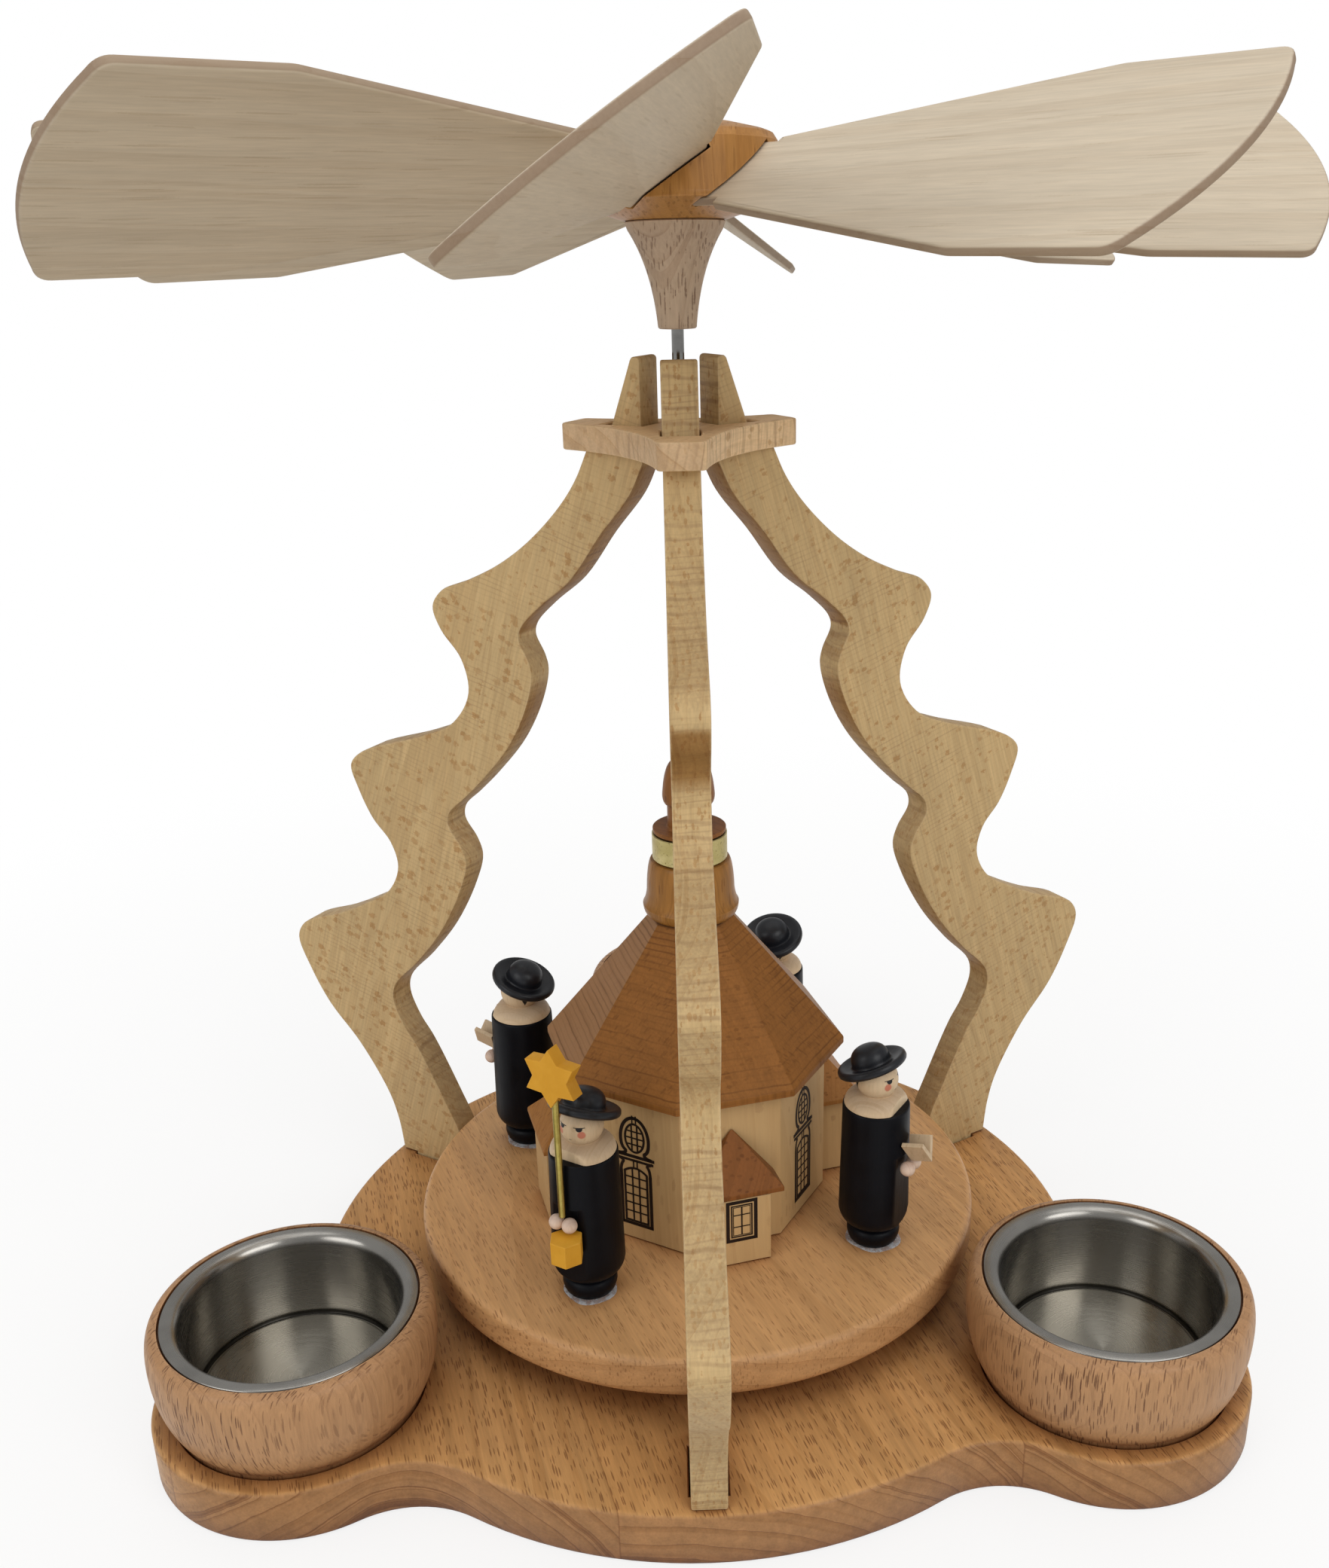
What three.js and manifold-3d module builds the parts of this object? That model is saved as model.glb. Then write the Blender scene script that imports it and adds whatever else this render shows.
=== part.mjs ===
// A wooden candle pyramid for Christmas: three scroll-sawn arms on a lobed base hold a collar, and a steel
// spindle in the middle carries a turntable with a small church and four figures. A rotor of eight blades
// sits on the spindle's top and turns it in the warm air of three tealights.
// Millimetres, +Z up. The origin lies on the spindle's axis, in the plane that the base stands on.
// Directions around the axis are in degrees, counted anticlockwise from +X seen from above.

import * as THREE from 'three';
import { mergeVertices } from 'three/addons/utils/BufferGeometryUtils.js';
import { ConvexGeometry } from 'three/addons/geometries/ConvexGeometry.js';
import Module from 'manifold-3d';

const wasm = await Module();
wasm.setup();

// Gap left at a glued seat, and the play of the spindle where it turns
const seatGap = 0.3;
const runningPlay = 0.25;

// Base board: a disc with three round lobes
const baseThickness = 10.8;
const discInset = 8.5;
const lobeRadius = 28;
const lobeFillet = 20;
const baseEdge = 1;
const lobeDirections = { cup_back: 90, cup_front_left: 210, cup_front_right: 330 };

// Candle cups, turned, each in a round recess of a lobe
const recessDepth = 2;
const cupHeight = 21.5;
const cupFootRadius = 23.6;
const cupBellyRadius = 26.9;
const cupBellyHeight = 15.5;
const cupRimRadius = 25;
const cupFloor = 2.6;
const cupGap = 3.9;

// Metal inserts that hold the tealights
const insertMouthRadius = 20.5;
const insertFloorRadius = 19.3;
const insertDepth = 17.4;
const insertFlangeRadius = 23.9;
const insertSheet = 0.8;

// Scroll-sawn arms
const armThickness = 6.5;
const armFootGap = 1.8;
const armDirections = { arm_front: 270, arm_right: 30, arm_left: 150 };
const tenonShoulderInner = 3.5;
const tenonShoulderOuter = 3.8;
const tenonDepth = 5;
const shoulderHeight = 169;
const tongueInner = 6.2;
const tongueOuter = 14.2;
const tongueTopOuter = 8;
const tongueHeight = 16.7;

// Edges of an arm as sawn, from the foot up to the tongue: distance from the axis and height above the base.
// They spread with the turntable and stretch with the shoulder, which is the outer edge's last point.
const armOuterEdge = [
  [79.8, 0], [80.8, 7.9], [83, 14.8], [90.3, 26.4], [98.5, 35.4], [103.4, 44], [105.9, 51.3],
  [103.6, 55.4], [92, 60.3], [84.5, 64], [76.6, 68.9], [73.2, 75.4], [74.6, 81], [79, 86],
  [82.3, 92.6], [83.7, 98], [80.1, 101.5], [62.9, 107.5], [54.5, 111.5], [49.8, 118.6], [51, 125.6],
  [55.6, 131.3], [57.2, 136], [54.6, 139.5], [47.8, 142.2], [40.1, 145.9], [32.5, 151.1],
  [25.1, 158.1], [21, 163.5], [18.2, 169],
];
const armInnerEdge = [
  [61, 0], [62.4, 8.9], [65.7, 16.2], [72.5, 29.4], [76.1, 34.6], [78.4, 40.6], [77.5, 44.7],
  [70, 52.5], [62.3, 61.9], [56.2, 72.7], [53.9, 79.6], [55, 83.4], [57.9, 87.8], [57.4, 90.7],
  [53, 94.8], [47.7, 99.9], [40.2, 108.5], [35.4, 117.3], [33.6, 124], [34.2, 127], [36.2, 131.2],
  [35.5, 133.6], [30.8, 138.2], [23.3, 144.1], [16, 153.3], [9.2, 161.2], [6.2, 167],
];

// Collar plate that holds the arms together
const collarThickness = 4.8;
const collarTipRadius = 23;
const collarTipHalfWidth = 4.4;
const collarTipRound = 1.6;
const collarWaist = 11.4;
const slotEndGap = 0.7;

// Spindle and its bearing in the base
const spindleRadius = 1.1;
const spindlePoint = 2;
const spindleInHub = 8.5;
const bearingRadius = 4.6;
const bearingDepth = 5.2;
const bearingFloor = 1.6;

// Turntable
const turntableGap = 5.5;
const turntableThickness = 9;
const turntableRadius = 59.2;
const turntableTopEdge = 1.5;
const turntableBottomEdge = 3;

// Church: an eight-sided body with four annexes
const churchDirection = 285;
const churchSides = 8;
const churchRadius = 27.3;
const churchHeight = 34;
const roofEaveRadius = 31.3;
const roofFascia = 1.4;
const roofTopRadius = 8.6;
const roofHeight = 28.7;
const porch = {
  reach: 31.9, halfWidth: 6.1, height: 15, eaveReach: 32.3, eaveHalfWidth: 8.8, roofHeight: 12.2,
};
const annex = {
  reach: 33.9, halfWidth: 6.5, height: 17.4, eaveReach: 34.8, eaveHalfWidth: 9.1, roofHeight: 12,
};
const eaveThickness = 1;
const annexes = { front: [0, porch], right: [90, annex], back: [180, porch], left: [270, annex] };

// Lantern on the roof, and the finial above it
const bellHeight = 12.1;
const bellFootRadius = 8.4;
const bellRadius = 9.6;
const bellTopRadius = 8.2;
const ringRadius = 7.5;
const ringHeight = 5.3;
const capRadius = 7.3;
const capThickness = 0.8;
const finialNeckRadius = 4.3;
const finialNeckHeight = 5;
const finialRadius = 5.2;
const finialHeight = 14.6;

// Rotor head: sleeve, hub and blades. The hub sits a little crooked and the blades droop a little
const rotorGap = 4.7;
const sleeveHeight = 17;
const sleeveFootRadius = 3.4;
const sleeveTopRadius = 8.7;
const hubBottomRadius = 9;
const hubRadius = 18.4;
const slotOverrun = 4;
const hubUnderside = 2.9;
const hubWallTop = 12;
const hubHeight = 15.8;
const hubLean = -2;
const bladeCount = 8;
const firstBladeDirection = 264;
const bladePitch = 33.5;
const bladeDroop = 1.5;
const bladeThickness = 1.5;
const bladeAxisHeight = 6.8;
const bladeTipRadius = 108.2;
const bladeShoulderRadius = 77;
const bladeRootHalfWidth = 9.2;
const bladeHalfWidth = 21.7;
const bladeTipSag = 5.6;
const tongueHalfWidth = 8;
const bladeTongueStart = 12.6;

// Figures on the turntable
const figureRadius = 42.3;
const figures = { bearer: 239, singer_right: 326.8, singer_left: 153.8, singer_back: 62.6 };
const coatHeight = 31.5;
const coatFootRadius = 5;
const coatFootHeight = 5;
const coatRadius = 7.1;
const coatShoulderRadius = 6.6;
const coatFlat = 6;
const coatFlatHeight = 22;
const neckHeight = 34;
const neckRadius = 3.2;
const headRadius = 4.2;
const headHeight = 37;
const shoulderFlat = 5;
const hatTilt = -22;
const brimRadius = 7;
const brimHeight = 2;
const brimThickness = 1.9;
const brimRound = 0.6;
const crownRadius = 3.9;
const crownHeight = 3.2;
const handRadius = 1.5;
const handSpread = 1.45;
const handHeight = 19.4;

// Things the figures hold
const bookAngle = 30;
const bookTilt = 15;
const bookLeaf = 5.2;
const bookThickness = 0.9;
const bookLength = 4.6;
const heldReach = 1.9;
const rodRadius = 0.65;
const rodHoleDepth = 2.4;
const starRadius = 6;
const starInnerRadius = 3.7;
const starThickness = 3;
const starHeight = 51.2;
const lanternRadius = 3.3;
const lanternHeight = 4.8;

// Heights and places that follow from the sizes above
const baseTop = baseThickness;
const recessFloor = baseTop - recessDepth;
const cupBottom = recessFloor + seatGap;
const insertTop = cupBottom + cupHeight;
const collarBottom = baseTop + shoulderHeight + seatGap;
const turntableBottom = baseTop + turntableGap;
const turntableTop = turntableBottom + turntableThickness;
const churchBottom = turntableTop + seatGap;
const roofBottom = churchBottom + churchHeight + seatGap;
const bellBottom = roofBottom + roofHeight + seatGap;
const ringBottom = bellBottom + bellHeight + seatGap;
const finialBottom = ringBottom + ringHeight + seatGap;
const sleeveBottom = baseTop + seatGap + shoulderHeight + tongueHeight + rotorGap;
const hubBottom = sleeveBottom + sleeveHeight + 2 * seatGap;
const spindleTop = hubBottom + spindleInHub;
const churchApothem = churchRadius * Math.cos(Math.PI / churchSides);
const boreRadius = spindleRadius + runningPlay;
const lobeCentreRadius = turntableRadius + cupGap + cupBellyRadius;
const baseRadius = lobeCentreRadius - discInset;
const armSpread = (turntableRadius + armFootGap - tongueInner) / (armInnerEdge[0][0] - tongueInner);
const armStretch = shoulderHeight / armOuterEdge.at(-1)[1];
const tenonInner = armReach(armInnerEdge[0][0]) + tenonShoulderInner;
const tenonOuter = armReach(armOuterEdge[0][0]) - tenonShoulderOuter;
const bookReach = coatFlat + heldReach;
const rodReach = coatFlat + heldReach;

const pyramid = new THREE.Group();

// The arms spread with the turntable that turns inside their feet
function armReach(radius) {
  return tongueInner + (radius - tongueInner) * armSpread;
}

function radians(degrees) {
  return THREE.MathUtils.degToRad(degrees);
}

// Closed mesh to a solid: only positions, shared corners merged, no triangle folded to a line
function toSolid(geometry) {
  const plain = geometry.clone();
  plain.deleteAttribute('normal');
  plain.deleteAttribute('uv');
  const merged = mergeVertices(plain, 1e-4);
  const index = merged.index.array;
  const kept = [];
  for (let i = 0; i < index.length; i += 3) {
    const [a, b, c] = [index[i], index[i + 1], index[i + 2]];
    if (a !== b && b !== c && c !== a) kept.push(a, b, c);
  }
  const vertProperties = new Float32Array(merged.attributes.position.array);
  return new wasm.Manifold(new wasm.Mesh({ numProp: 3, vertProperties, triVerts: new Uint32Array(kept) }));
}

function toGeometry(solid) {
  const mesh = solid.getMesh();
  const geometry = new THREE.BufferGeometry();
  geometry.setAttribute('position', new THREE.BufferAttribute(new Float32Array(mesh.vertProperties), 3));
  geometry.setIndex(new THREE.BufferAttribute(new Uint32Array(mesh.triVerts), 1));
  geometry.computeVertexNormals();
  return geometry;
}

function cut(geometry, tools) {
  let solid = toSolid(geometry);
  for (const tool of tools) solid = solid.subtract(toSolid(tool));
  return toGeometry(solid);
}

function join(geometry, others) {
  let solid = toSolid(geometry);
  for (const other of others) solid = solid.add(toSolid(other));
  return toGeometry(solid);
}

// Turns a profile of [radius, height] points about the Z axis; a first turn sets where the facets start
function turned(profile, segments, start = 0) {
  const points = profile.map(([radius, height]) => new THREE.Vector2(radius, height));
  return new THREE.LatheGeometry(points, segments, start).rotateX(Math.PI / 2);
}

// The same with a bore: the outer profile runs from bottom to top and the bore closes it
function turnedRing(outer, bore, segments, start = 0) {
  const bottom = outer[0][1];
  const top = outer[outer.length - 1][1];
  return turned([[bore, bottom], ...outer, [bore, top], [bore, bottom]], segments, start);
}

// Points of a curve as [radius, height] pairs, without its first point
function along(curve, steps) {
  return curve.getPoints(steps).slice(1).map((point) => [point.x, point.y]);
}

function bend(from, control, to) {
  const [a, b, c] = [from, control, to].map(([x, y]) => new THREE.Vector2(x, y));
  return new THREE.QuadraticBezierCurve(a, b, c);
}

function sweep(centreX, centreY, radius, fromDegrees, toDegrees) {
  const from = radians(fromDegrees);
  const to = radians(toDegrees);
  return new THREE.EllipseCurve(centreX, centreY, radius, radius, from, to, to < from);
}

function box(lengthX, lengthY, lengthZ, x, y, z) {
  return new THREE.BoxGeometry(lengthX, lengthY, lengthZ).translate(x, y, z);
}

function post(radius, height, bottom, segments) {
  return new THREE.CylinderGeometry(radius, radius, height, segments)
    .rotateX(Math.PI / 2)
    .translate(0, 0, bottom + height / 2);
}

function paint(colour, roughness, metalness = 0) {
  return new THREE.MeshStandardMaterial({ color: colour, roughness, metalness });
}

function add(name, geometry, material, parent = pyramid) {
  const mesh = new THREE.Mesh(geometry, material);
  mesh.name = name;
  parent.add(mesh);
  return mesh;
}

// A group turned about the axis, with its own X axis pointing outwards in that direction
function facing(direction, parent = pyramid) {
  const group = new THREE.Group();
  group.rotation.z = radians(direction);
  parent.add(group);
  return group;
}

function polar(radius, angle) {
  return new THREE.Vector2(radius * Math.cos(angle), radius * Math.sin(angle));
}

// Outline of the base: lobe, fillet, disc and fillet, three times round
function baseOutline() {
  const filletDistance = baseRadius + lobeFillet;
  const lobeToFillet = lobeRadius + lobeFillet;
  const squares = filletDistance ** 2 + lobeCentreRadius ** 2 - lobeToFillet ** 2;
  const offAxis = Math.acos(squares / (2 * filletDistance * lobeCentreRadius));
  const outline = [];
  for (const direction of Object.values(lobeDirections)) {
    const axis = radians(direction);
    const lobe = polar(lobeCentreRadius, axis);
    const before = polar(filletDistance, axis - offAxis);
    const after = polar(filletDistance, axis + offAxis);
    const lobeStart = before.clone().sub(lobe).angle();
    const lobeEnd = after.clone().sub(lobe).angle();
    const discStart = axis + offAxis;
    const discEnd = axis + 2 * Math.PI / 3 - offAxis;
    outline.push(...arc(before, lobeFillet, axis - offAxis + Math.PI, lobeStart + Math.PI, -1, 4));
    outline.push(...arc(lobe, lobeRadius, lobeStart, lobeEnd, 1, 14));
    outline.push(...arc(after, lobeFillet, lobeEnd + Math.PI, discStart + Math.PI, -1, 4));
    outline.push(...arc(new THREE.Vector2(), baseRadius, discStart, discEnd, 1, 9));
  }
  return new THREE.Shape(outline);
}

// Points of an arc, anticlockwise for a sense of 1 and clockwise for -1, without its last point
function arc(centre, radius, from, to, sense, steps) {
  const full = 2 * Math.PI;
  const turn = sense * (((sense * (to - from)) % full + full) % full);
  const points = [];
  for (let i = 0; i < steps; i += 1) {
    points.push(polar(radius, from + (turn * i) / steps).add(centre));
  }
  return points;
}

function buildBase(wood) {
  const board = new THREE.ExtrudeGeometry(baseOutline(), {
    depth: baseThickness - 2 * baseEdge,
    bevelEnabled: true,
    bevelThickness: baseEdge,
    bevelSize: baseEdge,
    bevelOffset: -baseEdge,
    bevelSegments: 1,
  }).translate(0, 0, baseEdge);
  const socketFloor = baseTop - bearingDepth - seatGap;
  const cuts = [post(bearingRadius + seatGap, bearingDepth + seatGap + 1, socketFloor, 20)];
  for (const direction of Object.values(lobeDirections)) {
    const recess = post(cupFootRadius + seatGap, recessDepth + 1, recessFloor, 36);
    cuts.push(recess.translate(lobeCentreRadius, 0, 0).rotateZ(radians(direction)));
  }
  const mortiseLength = tenonOuter - tenonInner + 2 * seatGap;
  const mortiseDepth = tenonDepth + seatGap;
  for (const direction of Object.values(armDirections)) {
    const mortise = box(mortiseLength, armThickness + 2 * seatGap, mortiseDepth + 1,
      (tenonInner + tenonOuter) / 2, 0, baseTop + (1 - mortiseDepth) / 2);
    cuts.push(mortise.rotateZ(radians(direction)));
  }
  add('base_board', cut(board, cuts), wood);
}

function buildBearing(metal) {
  const bottom = baseTop - bearingDepth;
  const socket = bottom + bearingFloor;
  const profile = [
    [0, bottom], [bearingRadius, bottom], [bearingRadius, baseTop - 0.6], [bearingRadius - 0.6, baseTop],
    [boreRadius, baseTop], [boreRadius, socket + spindlePoint], [0, socket],
  ];
  add('spindle_bearing', turned(profile, 20), metal);
}

function cupProfile() {
  const rimTop = cupHeight;
  const rebate = insertFlangeRadius + seatGap;
  const rebateFloor = rimTop - insertSheet - seatGap;
  const boreTop = insertMouthRadius + insertSheet + seatGap;
  const boreBottom = insertFloorRadius + insertSheet + seatGap;
  const foot = [cupFootRadius, recessDepth];
  const belly = [cupBellyRadius, cupBellyHeight];
  return [
    [0, 0], [cupFootRadius, 0], foot,
    ...along(bend(foot, [cupBellyRadius, cupBellyHeight * 0.45], belly), 4),
    ...along(bend(belly, [cupBellyRadius, rimTop - 0.6], [cupRimRadius, rimTop]), 3),
    [rebate, rimTop], [rebate, rebateFloor], [boreTop, rebateFloor], [boreBottom, cupFloor], [0, cupFloor],
  ];
}

function insertProfile() {
  const floor = -insertDepth;
  return [
    [0, floor - insertSheet], [insertFloorRadius + insertSheet, floor - insertSheet],
    [insertMouthRadius + insertSheet, -insertSheet], [insertFlangeRadius, -insertSheet],
    [insertFlangeRadius, 0], [insertMouthRadius, 0], [insertFloorRadius, floor], [0, floor],
  ];
}

function buildCups(wood, metal) {
  for (const [name, direction] of Object.entries(lobeDirections)) {
    const lobe = facing(direction);
    const cup = add(name, turned(cupProfile(), 32), wood, lobe);
    cup.position.set(lobeCentreRadius, 0, cupBottom);
    const insert = add(name.replace('cup', 'insert'), turned(insertProfile(), 32), metal, lobe);
    insert.position.set(lobeCentreRadius, 0, insertTop);
  }
}

// A smooth sawn edge through its points, with two steps between each pair
function sawnEdge(points) {
  const knots = points.map(([radius, height]) => new THREE.Vector3(armReach(radius), height * armStretch, 0));
  const curve = new THREE.CatmullRomCurve3(knots, false, 'centripetal');
  return curve.getPoints(2 * (points.length - 1)).map((point) => new THREE.Vector2(point.x, point.y));
}

function armShape() {
  const top = shoulderHeight + tongueHeight;
  const outline = [
    new THREE.Vector2(tenonInner, 0),
    new THREE.Vector2(tenonInner, -tenonDepth),
    new THREE.Vector2(tenonOuter, -tenonDepth),
    new THREE.Vector2(tenonOuter, 0),
    ...sawnEdge(armOuterEdge),
    new THREE.Vector2(tongueOuter, shoulderHeight),
    new THREE.Vector2(tongueTopOuter, top),
    new THREE.Vector2(tongueInner, top),
    ...sawnEdge(armInnerEdge).reverse(),
  ];
  return new THREE.Shape(outline);
}

function buildArms(wood) {
  const blank = new THREE.ExtrudeGeometry(armShape(), { depth: armThickness, bevelEnabled: false })
    .translate(0, 0, -armThickness / 2)
    .rotateX(Math.PI / 2);
  for (const [name, direction] of Object.entries(armDirections)) {
    const arm = add(name, blank.clone(), wood, facing(direction));
    arm.position.z = baseTop + seatGap;
  }
}

// Collar plate: three tips over the arms, hollowed sides, a slot for each tongue and a hole for the spindle
function collarShape() {
  const round = collarTipRound;
  const startRadius = collarTipRadius - round;
  const chord = Math.hypot(startRadius, collarTipHalfWidth);
  const chordAngle = Math.atan2(collarTipHalfWidth, startRadius);
  const chordMiddle = chord * Math.cos(Math.PI / 3 - chordAngle);
  const control = 2 * collarWaist - chordMiddle;
  const shape = new THREE.Shape();
  Object.values(armDirections).sort((a, b) => a - b).forEach((direction, i) => {
    const axis = radians(direction);
    const at = (x, y) => [x * Math.cos(axis) - y * Math.sin(axis), x * Math.sin(axis) + y * Math.cos(axis)];
    if (i === 0) shape.moveTo(...at(startRadius, -collarTipHalfWidth));
    const corner = collarTipHalfWidth;
    shape.quadraticCurveTo(...at(collarTipRadius, -corner), ...at(collarTipRadius, round - corner));
    shape.lineTo(...at(collarTipRadius, corner - round));
    shape.quadraticCurveTo(...at(collarTipRadius, corner), ...at(startRadius, corner));
    const next = axis + 2 * Math.PI / 3;
    const middle = axis + Math.PI / 3;
    const endX = startRadius * Math.cos(next) + corner * Math.sin(next);
    const endY = startRadius * Math.sin(next) - corner * Math.cos(next);
    shape.quadraticCurveTo(control * Math.cos(middle), control * Math.sin(middle), endX, endY);
  });
  return shape;
}

function buildCollar(wood) {
  const plate = new THREE.ExtrudeGeometry(collarShape(), {
    depth: collarThickness,
    bevelEnabled: false,
    curveSegments: 7,
  }).translate(0, 0, collarBottom);
  const middle = collarBottom + collarThickness / 2;
  const slotEnd = tongueOuter + slotEndGap;
  const slotStart = tongueInner - seatGap;
  const cuts = [post(boreRadius, collarThickness + 2, collarBottom - 1, 16)];
  for (const direction of Object.values(armDirections)) {
    const slot = box(slotEnd - slotStart, armThickness + 2 * seatGap, collarThickness + 2,
      (slotStart + slotEnd) / 2, 0, middle);
    cuts.push(slot.rotateZ(radians(direction)));
  }
  add('collar_plate', cut(plate, cuts), wood);
}

function buildSpindle(metal) {
  const tip = baseTop - bearingDepth + bearingFloor + seatGap;
  const profile = [
    [0, tip], [spindleRadius, tip + spindlePoint], [spindleRadius, spindleTop - 0.5],
    [spindleRadius - 0.5, spindleTop], [0, spindleTop],
  ];
  add('spindle', turned(profile, 16), metal);
}

function buildTurntable(wood) {
  const [r, low, high] = [turntableRadius, turntableBottom, turntableTop];
  const outer = [
    [r - turntableBottomEdge, low],
    ...along(sweep(r - turntableBottomEdge, low + turntableBottomEdge, turntableBottomEdge, 270, 360), 2),
    [r, high - turntableTopEdge],
    ...along(sweep(r - turntableTopEdge, high - turntableTopEdge, turntableTopEdge, 0, 90), 2),
  ];
  add('turntable', turnedRing(outer, boreRadius, 48), wood);
}

// Church body and roof turn about the spindle with eight facets, a flat one towards the porch
function buildChurch(wallWood, roofWood, porchWood) {
  const church = facing(churchDirection);
  const facetStart = Math.PI / churchSides;
  const bore = boreRadius / Math.cos(Math.PI / churchSides);
  const walls = turnedRing([[churchRadius, 0], [churchRadius, churchHeight]], bore, churchSides, facetStart);
  add('church_walls', walls, wallWood, church).position.z = churchBottom;
  const roofProfile = [[roofEaveRadius, 0], [roofEaveRadius, roofFascia], [roofTopRadius, roofHeight]];
  const roof = turnedRing(roofProfile, bore, churchSides, facetStart);
  add('church_roof', roof, roofWood, church).position.z = roofBottom;
  for (const [side, [direction, size]] of Object.entries(annexes)) {
    const wing = facing(direction, church);
    add(`annex_${side}_walls`, annexWalls(size), wallWood, wing).position.z = churchBottom;
    const roofMesh = add(`annex_${side}_roof`, annexRoof(size), porchWood, wing);
    roofMesh.position.z = churchBottom + size.height + seatGap;
  }
}

function annexWalls(size) {
  const start = churchApothem + seatGap;
  const length = size.reach - start;
  return box(length, 2 * size.halfWidth, size.height, start + length / 2, 0, size.height / 2);
}

// Half of a hipped roof: a thin eave with its peak against the church wall
function annexRoof(size) {
  const start = churchApothem + seatGap;
  const corners = [new THREE.Vector3(start, 0, size.roofHeight)];
  for (const x of [start, size.eaveReach]) {
    for (const y of [-size.eaveHalfWidth, size.eaveHalfWidth]) {
      for (const z of [0, eaveThickness]) corners.push(new THREE.Vector3(x, y, z));
    }
  }
  return new ConvexGeometry(corners);
}

function buildLantern(bellWood, brass, finialWood) {
  const low = [bellFootRadius, 0];
  const belly = [bellRadius, bellHeight * 0.22];
  const bell = [
    low, ...along(bend(low, [bellRadius, 0.4], belly), 2),
    ...along(bend(belly, [bellTopRadius + 0.9, bellHeight * 0.3], [bellTopRadius, bellHeight]), 4),
  ];
  add('lantern_bell', turnedRing(bell, boreRadius, 24), bellWood).position.z = bellBottom;
  const ring = [[ringRadius, 0], [ringRadius, ringHeight]];
  add('lantern_ring', turnedRing(ring, boreRadius, 24), brass).position.z = ringBottom;
  const neckTop = capThickness + finialNeckHeight;
  const rim = [finialRadius, neckTop + 1.8];
  const finial = [
    [capRadius, 0], [capRadius, capThickness], [finialNeckRadius, capThickness], [finialNeckRadius, neckTop],
    ...along(bend([finialNeckRadius, neckTop], [finialRadius, neckTop], rim), 2),
    ...along(bend(rim, [finialRadius - 0.5, finialHeight], [boreRadius + 1.2, finialHeight]), 4),
  ];
  add('finial', turnedRing(finial, boreRadius, 24), finialWood).position.z = finialBottom;
}

function buildSleeve(wood) {
  const foot = [sleeveFootRadius, 0];
  const flare = [sleeveTopRadius, sleeveHeight];
  const outer = [foot, ...along(bend(foot, [sleeveFootRadius + 0.9, sleeveHeight * 0.62], flare), 6)];
  add('rotor_sleeve', turnedRing(outer, boreRadius, 20), wood).position.z = sleeveBottom;
}

// A blade: a tongue for the hub, sides that widen to the shoulder, then a broad end with a bowed tip
function bladeShape() {
  const rootRadius = hubRadius + 2 * seatGap;
  const tipCorner = bladeTipRadius - bladeTipSag;
  const shape = new THREE.Shape();
  shape.moveTo(bladeTongueStart, -tongueHalfWidth);
  shape.lineTo(rootRadius, -tongueHalfWidth);
  shape.lineTo(rootRadius, -bladeRootHalfWidth);
  shape.lineTo(bladeShoulderRadius, -bladeHalfWidth);
  shape.lineTo(tipCorner - 1, -bladeHalfWidth);
  shape.quadraticCurveTo(tipCorner, -bladeHalfWidth, tipCorner + 0.8, 1.6 - bladeHalfWidth);
  shape.quadraticCurveTo(2 * bladeTipRadius - tipCorner - 0.8, 0, tipCorner + 0.8, bladeHalfWidth - 1.6);
  shape.quadraticCurveTo(tipCorner, bladeHalfWidth, tipCorner - 1, bladeHalfWidth);
  shape.lineTo(bladeShoulderRadius, bladeHalfWidth);
  shape.lineTo(rootRadius, bladeRootHalfWidth);
  shape.lineTo(rootRadius, tongueHalfWidth);
  shape.lineTo(bladeTongueStart, tongueHalfWidth);
  return shape;
}

// Puts a blade, or the cut for its tongue, in its place on the hub
function placeOnHub(geometry, direction) {
  return geometry
    .rotateX(radians(bladePitch))
    .rotateY(radians(bladeDroop))
    .translate(0, 0, bladeAxisHeight)
    .rotateZ(radians(direction));
}

function buildRotor(hubWood, bladeWood) {
  const head = new THREE.Group();
  head.position.z = hubBottom;
  head.rotation.x = radians(hubLean);
  pyramid.add(head);
  const wallTop = [hubRadius - 0.7, hubWallTop];
  const crownEdge = [hubRadius - 3, hubHeight - 2];
  const outer = [
    [hubBottomRadius, 0], [hubRadius, hubUnderside], [hubRadius - 0.2, hubUnderside + 1], wallTop,
    ...along(bend(wallTop, [hubRadius - 1.2, hubWallTop + 1.6], crownEdge), 2),
    ...along(bend(crownEdge, [hubRadius * 0.45, hubHeight], [0, hubHeight]), 3),
  ];
  const hub = turned([[0, 0], ...outer], 40);
  const boreHeight = spindleInHub + seatGap + 2;
  const bore = post(boreRadius, boreHeight, -2, 16).rotateX(-radians(hubLean));
  const cuts = [bore];
  const slotLength = hubRadius + slotOverrun;
  for (let i = 0; i < bladeCount; i += 1) {
    const slot = box(slotLength, 2 * (tongueHalfWidth + seatGap), bladeThickness + 2 * seatGap,
      bladeTongueStart - seatGap + slotLength / 2, 0, 0);
    cuts.push(placeOnHub(slot, firstBladeDirection + (i * 360) / bladeCount));
  }
  add('rotor_hub', cut(hub, cuts), hubWood, head);
  for (let i = 0; i < bladeCount; i += 1) {
    const blade = new THREE.ExtrudeGeometry(bladeShape(), {
      depth: bladeThickness,
      bevelEnabled: false,
      curveSegments: 8,
    }).translate(0, 0, -bladeThickness / 2);
    const direction = firstBladeDirection + (i * 360) / bladeCount;
    add(`blade_${i + 1}`, placeOnHub(blade, direction), bladeWood, head);
  }
}

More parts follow.
